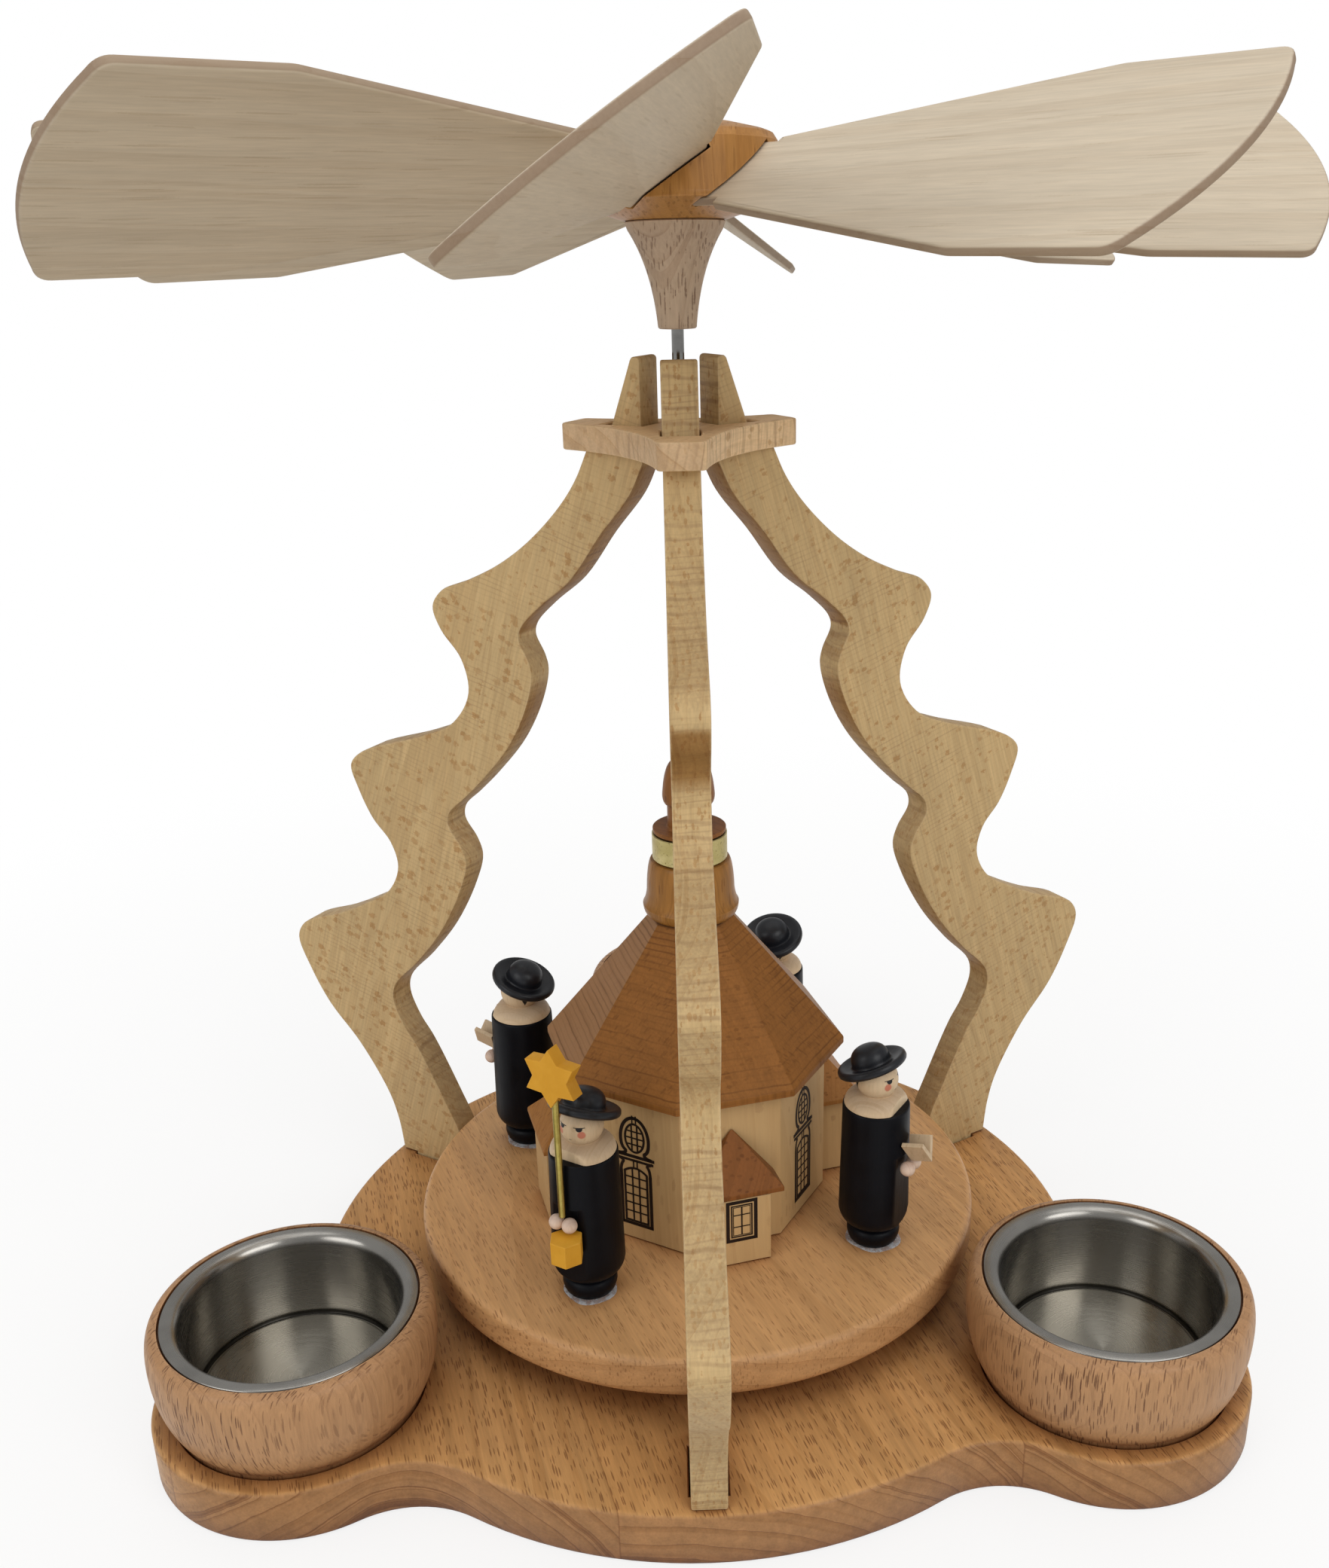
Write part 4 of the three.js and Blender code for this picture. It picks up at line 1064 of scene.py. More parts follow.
def makeCollar(settings):
    inner, outer, half = settings["slot"]
    pockets = [(ringPoints(sharedSizes["bore"], 24), None)]
    for direction in armDirections.values():
        corners = [(inner, -half), (outer, -half), (outer, half), (inner, half)]
        pockets.append(([turnPoint(p, direction) for p in corners], None))
    board = boardMesh(collarOutline(settings), settings["thickness"], settings["edge"], 2, pockets, 0.2)
    finishPiece("collarPlate", board, collarWood, "stand", ["collar_plate"],
                shift(0, 0, settings["bottom"]), shift(30, 7, 3) @ turnAbout(-62))


makeArms(armSettings)
makeCollar(collarSettings)
print("arms and collar made")


# spindle, turntable and what keeps them turning

carouselSettings = {
    "turntable": 59.2, "low": 16.3, "high": 25.3, "topEdge": 1.5, "bottomEdge": 3.0, "grainDirection": 113,
    "spindle": 1.1, "spindleTip": 7.5, "spindleTop": 227.6,
}

beechTable = woodMaterial("beechTable", {
    "Light": "#ce9e6a", "Dark": "#bb8a57", "Fleck": "#754523", "ringWidth": 0.005, "heartDepth": 0.06,
    "warp": 0.006, "fleckLength": 0.0036, "fleckWidth": 0.0004, "fleckAmount": 0.85, "fleckStrength": 0.62,
    "fibre": 0.45, "mottle": 0.22, "seed": 8.0, "bump": 0.35, "rubbed": 0.3, "rubbedColour": "#dcb487",
    # the last entry paints shade into hollows and where parts touch: reach in metres and a shade tint
    "endDepth": 0.3, "streaks": 0.35, "fleckFray": 0.15, "contact": (0.006, "#b99a80"),
})
spindleSteel = metalMaterial("spindleSteel", {
    "colour": "#7d7c7a", "second": "#6a6967", "lines": 9000, "cloud": 300, "speckScale": 3000,
    "speck": 0.3, "speckColour": "#77736d", "relief": 0.2, "roughness": (0.08, 0.16), "bump": 0.1,
})
bearingBrass = metalMaterial("bearingBrass", {
    "colour": "#b89b52", "second": "#a68943", "lines": 6000, "cloud": 300, "speckScale": 3000,
    "speck": 0.4, "speckColour": "#8a7340", "relief": 0.3, "roughness": (0.25, 0.4), "bump": 0.15,
    "onCadNode": True,
})


def makeTurntable(settings):
    radius, low, high = settings["turntable"], settings["low"], settings["high"]
    top, bottom, bore = settings["topEdge"], settings["bottomEdge"], sharedSizes["bore"]
    profile = [(bore, low), (radius - bottom, low)]
    profile += arcPoints(radius - bottom, low + bottom, bottom, -math.pi / 2, 0, 10)[1:]
    profile += [(radius, low + bottom), (radius, high - top)]
    profile += arcPoints(radius - top, high - top, top, 0, math.pi / 2, 8)[1:]
    profile += [(radius - top, high), (radius - top - 1, high), (bore, high)]
    finishPiece("turntableDisc", turnedMesh(profile, 192), beechTable, "carousel",
                ["turntable"], grain=turnAbout(-settings["grainDirection"]))
    tip, end, thick = settings["spindleTip"], settings["spindleTop"], settings["spindle"]
    pin = [(0, tip), (0.35, tip + 0.5), (thick, tip + 2), (thick, end - 0.5), (thick - 0.5, end), (0, end)]
    finishPiece("spindleRod", turnedMesh(pin, 48), spindleSteel, "carousel", ["spindle"])
    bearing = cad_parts["spindle_bearing"]
    bearing.data.materials.clear()
    bearing.data.materials.append(bearingBrass)


makeTurntable(carouselSettings)
print("turntable and spindle made")


# church

churchSettings = {"direction": 285, "wallEdge": 0.12, "roofEdge": 0.18}
lanternSettings = {
    "foot": (8.3, 0.15), "footBulge": (9.6, 0.4), "belly": (9.7, 0.21), "bellyEnd": (9.1, 0.28),
    "waist": (8.85, 0.46), "waistEnd": (8.75, 0.8), "shoulder": (8.15, 0.5), "rim": (7.95, 0.1), "top": 7.7,
    "ring": 7.5, "ringEdge": 0.15,
}
finialSettings = {
    "plate": 7.3, "plateTop": 0.8, "neck": 4.3, "neckTop": 5.8, "knob": 5.2, "knobRise": 1.8, "knobEnd": 4.7,
    "tip": 2.55, "height": 14.6,
}

lindenWall = woodMaterial("lindenWall", {
    "Light": "#c3a06f", "Dark": "#b59060", "Fleck": "#946e45", "ringWidth": 0.0035, "ringContrast": 0.35,
    "heartDepth": 0.08, "fleckLength": 0.004, "fleckWidth": 0.0009, "fleckAmount": 0.35,
    "fleckStrength": 0.35, "fibre": 0.16, "mottle": 0.14, "seed": 21.0, "gloss": 0.55, "bump": 0.12,
    "rubbed": 0.4, "rubbedColour": "#dcc79e", "rubbedWidth": 0.0003,
})
roofStain = woodMaterial("roofStain", {
    "Light": "#89592a", "Dark": "#744920", "Fleck": "#5a3418", "ringWidth": 0.0035, "ringContrast": 0.25,
    "heartDepth": 0.07, "warp": 0.004, "fleckLength": 0.006, "fleckStrength": 0.4, "mottle": 0.24,
    "seed": 25.0, "gloss": 0.5, "bump": 0.3, "rubbed": 0.7, "rubbedColour": "#b98a5c",
    "rubbedWidth": 0.00035, "marks": (1000.0, 0.7, 0.55, 0.0), "marksColour": "#4f2c12", "specular": 0.1,
    # the side roof facets get a painted sheen, given by axis and colour
    "streaks": 0.2, "sideGrain": (285, "#9d7857"), "marksSecond": (330.0, 0.6, 0.3, 0.02),
})
porchStain = woodMaterial("porchStain", {
    "Light": "#7d4d26", "Dark": "#69401e", "Fleck": "#482814", "heartDepth": 0.05, "fleckWidth": 0.0005,
    "fleckStrength": 0.45, "fibre": 0.35, "mottle": 0.3, "seed": 28.0, "gloss": 0.47, "bump": 0.3,
    "rubbed": 0.5, "rubbedColour": "#a8794c", "rubbedWidth": 0.0003, "specular": 0.1,
})
annexStain = woodMaterial("annexStain", {
    "Light": "#9c6a37", "Dark": "#87582a", "Fleck": "#5c3818", "heartDepth": 0.05, "fleckWidth": 0.0005,
    "fleckStrength": 0.45, "fibre": 0.35, "mottle": 0.3, "seed": 27.0, "gloss": 0.47, "bump": 0.3,
    "rubbed": 0.5, "rubbedColour": "#b08058", "rubbedWidth": 0.0003, "specular": 0.1,
})
amberStain = woodMaterial("amberStain", {
    "Light": "#94652d", "Dark": "#774f20", "Fleck": "#643a12", "fleckLength": 0.005, "fleckAmount": 0.6,
    "fleckStrength": 0.45, "fibre": 0.4, "mottle": 0.35, "seed": 31.0, "gloss": 0.36, "bump": 0.2,
    "rubbed": 0.4, "rubbedColour": "#c08a4c", "rubbedWidth": 0.0004, "specular": 0.2, "streaks": 0.6,
})
finialStain = woodMaterial("finialStain", {
    "Light": "#86562a", "Dark": "#6e441e", "Fleck": "#52301a", "ringWidth": 0.0025, "ringContrast": 0.35,
    "heartDepth": 0.02, "fleckWidth": 0.0007, "fleckAmount": 0.5, "fibre": 0.3, "mottle": 0.2,
    "seed": 33.0, "gloss": 0.42, "bump": 0.2, "rubbed": 0.4, "rubbedColour": "#b5835a",
    "rubbedWidth": 0.0004, "specular": 0.12,
})
ringFoil = metalMaterial("ringFoil", {
    "colour": "#c9ba86", "second": "#b3a46c", "lines": 900, "cloud": 250, "speckScale": 1700,
    "speck": 0.85, "speckColour": "#6f6235", "relief": 2.0, "roughness": (0.3, 0.45), "bump": 1.0,
})


def makeChurch(settings):
    upright = uprightGrain @ turnAbout(-settings["direction"])
    wallEdge, roofEdge = settings["wallEdge"], settings["roofEdge"]
    finishPiece("churchWalls", shellCopy("church_walls"), lindenWall, "carousel",
                ["church_walls"], grain=upright, bevel=wallEdge)
    finishPiece("churchRoof", shellCopy("church_roof"), roofStain, "carousel",
                ["church_roof"],
                grain=upright, bevel=roofEdge)
    for side in ("front", "right", "back", "left"):
        finishPiece(f"annexWalls{side.title()}", shellCopy(f"annex_{side}_walls"), lindenWall, "carousel",
                    [f"annex_{side}_walls"], grain=shift(50, 9, 0) @ upright, bevel=wallEdge)
        stain = porchStain if side == "front" else annexStain
        finishPiece(f"annexRoof{side.title()}", shellCopy(f"annex_{side}_roof"), stain, "carousel",
                    [f"annex_{side}_roof"], grain=shift(70, 3, 0) @ upright,
                    bevel=roofEdge)


def makeLantern(settings, knobSettings):
    # belly and waist give a radius and a share of the height, shoulder and rim a radius and a way down
    bore = sharedSizes["bore"]
    low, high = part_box("lantern_bell")
    height = (high.z - low.z) / mm
    foot, shoulderRadius, rimRadius = settings["foot"], settings["shoulder"][0], settings["rim"][0]
    belly, bellyEnd, waist, waistEnd = [(settings[key][0], height * settings[key][1])
                                        for key in ("belly", "bellyEnd", "waist", "waistEnd")]
    shoulder = (shoulderRadius, height - settings["shoulder"][1])
    profile = [(bore, 0), (foot[0] - 0.3, 0), foot, *bezier(foot, settings["footBulge"], belly, 8),
               *bezier(belly, bellyEnd, waist, 8), *bezier(waist, waistEnd, shoulder, 10),
               (rimRadius, height - settings["rim"][1]), (settings["top"], height), (bore, height)]
    finishPiece("lanternBell", turnedMesh(profile, 96), amberStain, "carousel",
                ["lantern_bell"], shift(0, 0, low.z / mm), uprightGrain)
    low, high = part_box("lantern_ring")
    height = (high.z - low.z) / mm
    ring, edge = settings["ring"], settings["ringEdge"]
    profile = [(bore, 0), (ring - edge, 0), (ring, edge), (ring, height - edge), (ring - edge, height),
               (bore, height)]
    finishPiece("lanternRing", turnedMesh(profile, 96), ringFoil, "carousel", ["lantern_ring"],
                shift(0, 0, low.z / mm))
    low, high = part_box("finial")
    plate, plateTop, neck, neckTop = [knobSettings[key] for key in ("plate", "plateTop", "neck", "neckTop")]
    knob, tip, height = knobSettings["knob"], knobSettings["tip"], knobSettings["height"]
    widest = (knob, neckTop + knobSettings["knobRise"])
    profile = [(bore, 0), (plate - 0.1, 0), (plate, 0.1), (plate, plateTop - 0.1), (plate - 0.1, plateTop),
               (neck + 0.3, plateTop), (neck, plateTop + 0.3), (neck, neckTop - 0.2),
               *bezier((neck, neckTop - 0.2), (knob, neckTop), widest, 6),
               *bezier(widest, (knobSettings["knobEnd"], height), (tip, height), 12), (bore, height)]
    finishPiece("finialKnob", turnedMesh(profile, 96), finialStain, "carousel", ["finial"],
                shift(0, 0, low.z / mm), uprightGrain)


windowSettings = {
    "proud": 0.06,  # millimetres that the print stands off the wall
    "wallApothem": 25.22, "wallDirections": (240, 330, 60, 150),
    "frame": (3.75, 28.7, 41.4),  # half width, bottom, top of the straight sides
    "line": 0.72,
    "inner": (2.82, 29.5, 41.6, 42.75),  # half width, bottom, spring and crown of the arch
    "innerLine": 0.48, "columns": 3, "rows": 6, "bar": 0.36,
    "cornice": (4.45, 44.0, 45.6),  # half width, bottom, top
    "corniceLines": (0.7, 0.55), "neckWaist": 2.15, "neckRise": 46.9,
    "oculus": (3.6, 49.25, 5.3),  # half width, centre, half height
    "oculusInner": (2.4, 49.55, 3.5), "oculusGrid": (3, 4), "postAside": 0.42, "postLine": 0.3,
    "topPosts": (52.9, 54.75, 0.28),  # bottom, top, width
    "porch": (3.25, 30.85, 40.4),  # half width, bottom, top
    "porchFrames": ((0, 0.72), (1.02, 0.28), (1.44, 0.13)),  # how far in, width
    "porchGlass": (1.57, 1.52), "porchPost": 0.3, "porchBars": (0.3, 0.72), "porchBar": 0.22,
}

printedInk = paintMaterial("printedInk", {
    "colour": "#1c130e", "second": "#281b14", "specular": 0.15, "roughness": (0.5, 0.7), "bump": 0.2,
    "rubbed": 0.0,
})


def strip(points, width):
    # a line of even width along open points, as one outline
    left, right = [], []
    for i, point in enumerate(points):
        before = Vector(points[max(i - 1, 0)])
        after = Vector(points[min(i + 1, len(points) - 1)])
        along = (after - before).normalized()
        side = Vector((-along.y, along.x)) * width / 2
        left.append(tuple(Vector(point) + side))
        right.append(tuple(Vector(point) - side))
    return list(zip(left, right))


def addStrip(mesh, pairs, depth, closed=False):
    # pairs of outline points become a thin closed plate, pushed out along the plate's own Z
    rows = [[mesh.verts.new((*a, z)) for a in pair for z in (-depth, depth)] for pair in pairs]
    span = list(zip(rows, rows[1:])) + ([(rows[-1], rows[0])] if closed else [])
    for first, second in span:
        a0, a1, b0, b1 = first
        c0, c1, d0, d1 = second
        for quad in ((a1, b1, d1, c1), (a0, c0, d0, b0), (a0, a1, c1, c0), (b0, d0, d1, b1)):
            mesh.faces.new(quad)
    if not closed:
        for a0, a1, b0, b1 in (rows[0], rows[-1]):
            mesh.faces.new((a0, b0, b1, a1))


def archLoop(half, bottom, side, top, steps=10):
    # straight sides and a low arch, from the bottom left corner round to the bottom right one
    crown = bezier((-half, side), (0, 2 * top - side), (half, side), steps)
    return [(-half, bottom), (-half, side), *crown, (half, bottom)]


def archTop(half, side, top, u):
    t = (u + half) / (2 * half)
    return (1 - t) ** 2 * side + 2 * t * (1 - t) * (2 * top - side) + t * t * side


def addGrid(mesh, depth, half, counts, bottom, width, topAt, bottomAt):
    # glazing bars, each ended where it meets the frame; counts are the panes across and up
    columns, rows = counts
    for i in range(1, columns):
        u = -half + 2 * half * i / columns
        addStrip(mesh, strip([(u, bottomAt(u)), (u, topAt(u))], width), depth)
    top = topAt(0)
    for k in range(1, rows):
        z = bottom + (top - bottom) * k / rows
        tries = [u / 40 * half for u in range(-40, 41)]
        reach = [u for u in tries if bottomAt(u) <= z <= topAt(u)]
        if reach:
            addStrip(mesh, strip([(reach[0], z), (reach[-1], z)], width * 0.9), depth)


def windowMesh(settings):
    # arched window below a cornice, with an oval one on top, drawn in lines
    mesh = bmesh.new()
    depth = settings["proud"]
    half, bottom, side = settings["frame"]
    line = settings["line"]
    end, corniceLow, corniceHigh = settings["cornice"]
    oculusHalf, middle, tall = settings["oculus"]
    topLine, lowLine = settings["corniceLines"]
    addStrip(mesh, strip([(-half + line / 2, bottom), (-half + line / 2, side)], line), depth)
    addStrip(mesh, strip([(half - line / 2, bottom), (half - line / 2, side)], line), depth)
    addStrip(mesh, strip([(-half, bottom + line / 2), (half, bottom + line / 2)], line), depth)
    for mirror in (-1, 1):
        # a curl from the frame out to the cornice, and a neck from the cornice round the oval window
        curl = [(half - line / 2, side)]
        curl += bezier(curl[0], (half - line / 2, side + 1.3), (half - 0.95, corniceLow - 0.45), 6)
        curl += bezier(curl[-1], (half - 1.2, corniceLow - 0.1), (end - 0.4, corniceLow + 0.45), 5)
        addStrip(mesh, strip([(mirror * u, z) for u, z in curl], line * 0.9), depth * 0.9)
        waist, around = settings["neckWaist"], oculusHalf - line / 2
        neck = [(end - 0.6, corniceHigh - 0.25)]
        neck += bezier(neck[0], (waist - 0.15, corniceHigh - 0.1), (waist, corniceHigh + 0.75), 6)
        neck += bezier(neck[-1], (oculusHalf - 0.35, settings["neckRise"]), (around, middle), 8)
        neck += [(around * math.cos(math.pi / 2 * k / 12), middle + (tall - line / 2) * math.sin(
            math.pi / 2 * k / 12)) for k in range(1, 13)]
        addStrip(mesh, strip([(mirror * u, z) for u, z in neck], line), depth)
    high, low = corniceHigh - topLine / 2, corniceLow + 0.3
    addStrip(mesh, strip([(-end, high), (end, high)], topLine), depth)
    addStrip(mesh, strip([(-end + 0.25, low), (end - 0.25, low)], lowLine), depth)
    inner, low, spring, crown = settings["inner"]
    thin = settings["innerLine"]
    glass, glassSpring, glassCrown = inner - thin, spring - thin * 0.6, crown - thin
    outside = archLoop(inner, low, spring, crown)
    inside = archLoop(glass, low + thin, glassSpring, glassCrown)
    addStrip(mesh, list(zip(outside, inside)), depth, closed=True)
    addGrid(mesh, depth, glass, (settings["columns"], settings["rows"]), low + thin, settings["bar"],
            lambda u: archTop(glass, glassSpring, glassCrown, u), lambda u: low + thin)
    aside, postLine = settings["postAside"], settings["postLine"]
    postBottom, postTop, thinPost = settings["topPosts"]
    for u in (-aside, aside):
        addStrip(mesh, strip([(u, crown - 0.1), (u, corniceLow + 0.2)], postLine), depth)
        addStrip(mesh, strip([(u, postBottom), (u, postTop)], thinPost), depth)
    across, centre, up = settings["oculusInner"]
    outside = ringPoints(across, 40, (0, centre), up)
    across, up = across - thin, up - thin
    inside = ringPoints(across, 40, (0, centre), up)
    addStrip(mesh, list(zip(outside, inside)), depth, closed=True)

    def oval(u):
        return up * math.sqrt(max(1 - (u / across) ** 2, 0))

    addGrid(mesh, depth, across, settings["oculusGrid"], centre - up, settings["bar"],
            lambda u: centre + oval(u), lambda u: centre - oval(u))
    return mesh


def porchWindowMesh(settings):
    mesh = bmesh.new()
    depth = settings["proud"]
    half, low, high = settings["porch"]
    for inset, width in settings["porchFrames"]:
        outside = [(-half + inset, low + inset), (half - inset, low + inset), (half - inset, high - inset),
                   (-half + inset, high - inset)]
        addStrip(mesh, list(zip(outside, offsetLoop(outside, width))), depth, closed=True)
    aside, upDown = settings["porchGlass"]
    glass, top, bottom = half - aside, high - upDown, low + upDown
    addStrip(mesh, strip([(0, bottom), (0, top)], settings["porchPost"]), depth)
    for share in settings["porchBars"]:
        z = bottom + (top - bottom) * share
        addStrip(mesh, strip([(-glass, z), (glass, z)], settings["porchBar"]), depth)
    return mesh


def makeWindows(settings):
    # each window is drawn upright in its wall's plane
    whole = bmesh.new()
    for direction in settings["wallDirections"]:
        addPart(whole, windowMesh(settings),
                turnAbout(direction) @ shift(settings["wallApothem"], 0, 0) @ uprightGrain)
    front = churchSettings["direction"]
    for side, direction in (("front", front), ("back", front - 180)):
        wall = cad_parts[f"annex_{side}_walls"].data
        axis = Vector((math.cos(math.radians(direction)), math.sin(math.radians(direction)), 0))
        reach = max(vertex.co.dot(axis) for vertex in wall.vertices) / mm
        addPart(whole, porchWindowMesh(settings), turnAbout(direction) @ shift(reach, 0, 0) @ uprightGrain)
    bmesh.ops.recalc_face_normals(whole, faces=whole.faces)
    finishPiece("printedWindows", whole, printedInk, "carousel", grain=uprightGrain)


makeChurch(churchSettings)
makeWindows(windowSettings)
makeLantern(lanternSettings, finialSettings)
print("church made")


# rotor: sleeve, hub and blades

rotorSettings = {
    "sleeveBottom": 201.5, "sleeveHeight": 17, "sleeveFoot": 3.4, "sleeveTop": 8.7,
    "hubBottom": 219.1, "hubGap": 0.08, "lean": -2, "first": 264, "count": 8, "pitch": 33.5, "droop": 1.5,
    "axisHeight": 6.8, "bladeThickness": 1.5, "tongueStart": 12.6, "tongueHalf": 8, "root": 19,
    "rootHalf": 9.2, "shoulder": 77, "half": 21.7, "tip": 108.2, "sag": 5.6, "edge": 0.4,
}

sleeveBeech = woodMaterial("sleeveBeech", {
    "Light": "#bda58c", "Dark": "#ab9076", "Fleck": "#5d3c28", "fleckLength": 0.0075, "fleckWidth": 0.0004,
    "fleckAmount": 0.9, "fleckStrength": 0.75, "fibre": 0.4, "mottle": 0.2, "seed": 41.0, "gloss": 0.6,
    "bump": 0.5, "rubbed": 0.3, "rubbedColour": "#dbbb9a", "rubbedWidth": 0.0005, "fleckFray": 0.45,
})
hubStain = woodMaterial("hubStain", {
    "Light": "#ad7b41", "Dark": "#976631", "Fleck": "#6b421b", "ringContrast": 0.45, "warp": 0.004,
    "fleckLength": 0.006, "fleckWidth": 0.0007, "fleckAmount": 0.75, "fibre": 0.45, "mottle": 0.2,
    "seed": 43.0, "gloss": 0.38, "rubbed": 0.5, "rubbedColour": "#cf9d68", "rubbedWidth": 0.0005,
    "specular": 0.2,
})
bladeWood = woodMaterial("bladeWood", {
    "Light": "#c9baa3", "Dark": "#bcaa91", "Fleck": "#a18c70", "ringWidth": 0.0065, "heartDepth": 0.12,
    "warp": 0.006, "fleckLength": 0.014, "fleckAmount": 0.4, "fleckStrength": 0.3, "fibre": 0.32,
    "seed": 47.0, "gloss": 0.6, "bump": 0.2, "rubbed": 0.5, "rubbedColour": "#9a7c5f",
    "rubbedWidth": 0.0005, "streaks": 0.22, "edgeColour": "#7d5f43", "edgeStrength": 0.6,
})


def bladeOutline(settings):
    root, rootHalf, tongueHalf = settings["root"], settings["rootHalf"], settings["tongueHalf"]
    half, shoulder, tip = settings["half"], settings["shoulder"], settings["tip"]
    corner = tip - settings["sag"]
    before, turn, after = (corner - 2, half), (corner + 0.2, half), (corner + 1.1, half - 2.6)
    side = [(settings["tongueStart"], -tongueHalf), (root, -tongueHalf), (root, -rootHalf, 0.6),
            (shoulder, -half, 8), (before[0], -half)]
    outline = softened(side, steps=6)
    outline += bezier((before[0], -half), (turn[0], -half), (after[0], -after[1]), 7)
    outline += bezier((after[0], -after[1]), (2 * tip - after[0], 0), after, 26)
    outline += bezier(after, turn, before, 7)
    return outline + [(x, -y) for x, y in softened(side, steps=6)[:-1]][::-1]


def makeRotor(settings):
    foot = (settings["sleeveFoot"], 0.2)
    flare = (settings["sleeveTop"], settings["sleeveHeight"] - 0.2)
    bore = sharedSizes["bore"]
    profile = [(bore, 0), (foot[0] - 0.2, 0), foot,
               *bezier(foot, (foot[0] + 0.9, settings["sleeveHeight"] * 0.62), flare, 18),
               (flare[0] - 0.2, settings["sleeveHeight"]), (bore, settings["sleeveHeight"])]
    sleeve = turnedMesh(profile, 96)
    # the sleeve's top is trimmed to the leaning hub and ends a little below it
    slope = math.tan(math.radians(settings["lean"]))
    reach = settings["hubBottom"] - settings["hubGap"] - settings["sleeveBottom"]
    stretch = reach - settings["sleeveHeight"]
    for vertex in sleeve.verts:
        if vertex.co.z > settings["sleeveHeight"] - 0.3:
            vertex.co.z += stretch + slope * vertex.co.y
    finishPiece("rotorSleeve", sleeve, sleeveBeech, "rotor", ["rotor_sleeve"],
                shift(0, 0, settings["sleeveBottom"]), uprightGrain)
    finishPiece("rotorHub", shellCopy("rotor_hub", 2e-6), hubStain, "rotor", ["rotor_hub"],
                grain=uprightGrain, bevel=0.12)


def nodeBranch(tree, kind, **values):
    node = tree.nodes.new(kind)
    for label, value in values.items():
        feed(tree, node.inputs[label.replace("_", " ")], value)
    return node


def storeAttribute(tree, geometry, name, domain, kind, value):
    node = tree.nodes.new("GeometryNodeStoreNamedAttribute")
    node.domain = domain
    node.data_type = kind
    feed(tree, node.inputs["Geometry"], geometry)
    node.inputs["Name"].default_value = name
    feed(tree, node.inputs["Value"], value)
    return node.outputs[0]


def namedAttribute(tree, name, kind):
    node = tree.nodes.new("GeometryNodeInputNamedAttribute")
    node.data_type = kind
    node.inputs["Name"].default_value = name
    return node.outputs[0]


def makeBladeTree():
    # one blade in, a ring of blades out: pitched about their length, drooped and turned on the head
    tree = bpy.data.node_groups.new("bladeRing", "GeometryNodeTree")
    kinds = {"Blade": "Geometry", "count": "Int", "first": "Float", "pitch": "Float", "droop": "Float",
             "lean": "Float", "axisHeight": "Float", "headHeight": "Float", "wood": "Material"}
    for label, kind in kinds.items():
        tree.interface.new_socket(label, in_out="INPUT", socket_type="NodeSocket" + kind)
    tree.interface.new_socket("Blades", in_out="OUTPUT", socket_type="NodeSocketGeometry")
    given = givenValues(tree)
    result = tree.nodes.new("NodeGroupOutput").inputs
    number = Value(tree, tree.nodes.new("GeometryNodeInputIndex").outputs[0])
    turn = given["first"] + number * (2 * math.pi / given["count"])
    centre = gather(tree, 0.0, 0.0, given["axisHeight"])
    points = nodeBranch(tree, "GeometryNodePoints", Count=given["count"], Position=centre)
    tilt = gather(tree, given["pitch"], given["droop"], turn)
    placed = nodeBranch(tree, "GeometryNodeInstanceOnPoints", Points=points.outputs[0],
                        Instance=given["Blade"], Rotation=tilt)
    numbered = storeAttribute(tree, placed.outputs[0], "bladeNumber", "INSTANCE", "FLOAT", number)
    whole = nodeBranch(tree, "GeometryNodeRealizeInstances", Geometry=numbered)
    # every blade is cut from its own stretch of wood
    own = namedAttribute(tree, "bladeNumber", "FLOAT")
    away = vectorCalc(tree, "MULTIPLY", gather(tree, own, own, own), (0.16, 0.037, 0.011))
    moved = vectorCalc(tree, "ADD", namedAttribute(tree, "grain", "FLOAT_VECTOR"), away)
    cut = storeAttribute(tree, whole.outputs[0], "grain", "POINT", "FLOAT_VECTOR", moved)
    leaned = nodeBranch(tree, "GeometryNodeTransform", Geometry=cut,
                        Translation=gather(tree, 0.0, 0.0, given["headHeight"]),
                        Rotation=gather(tree, given["lean"], 0.0, 0.0))
    finished = nodeBranch(tree, "GeometryNodeSetMaterial", Geometry=leaned.outputs[0],
                          Material=given["wood"])
    tree.links.new(finished.outputs[0], result[0])
    return tree


def plainResult(name, source, tree, **values):
    # runs the tree on the source object and keeps only the mesh that comes out
    modifier = source.modifiers.new("made", "NODES")
    modifier.node_group = tree
    for item in tree.interface.items_tree:
        if item.in_out == "INPUT" and item.name in values:
            modifier[item.identifier] = values[item.name]
    bpy.context.view_layer.update()
    seen = source.evaluated_get(bpy.context.evaluated_depsgraph_get())
    data = bpy.data.meshes.new_from_object(seen)
    data.name = name
    piece = bpy.data.objects.new(name, data)
    bpy.context.scene.collection.objects.link(piece)
    source.modifiers.remove(modifier)
    bpy.data.objects.remove(source)
    return piece


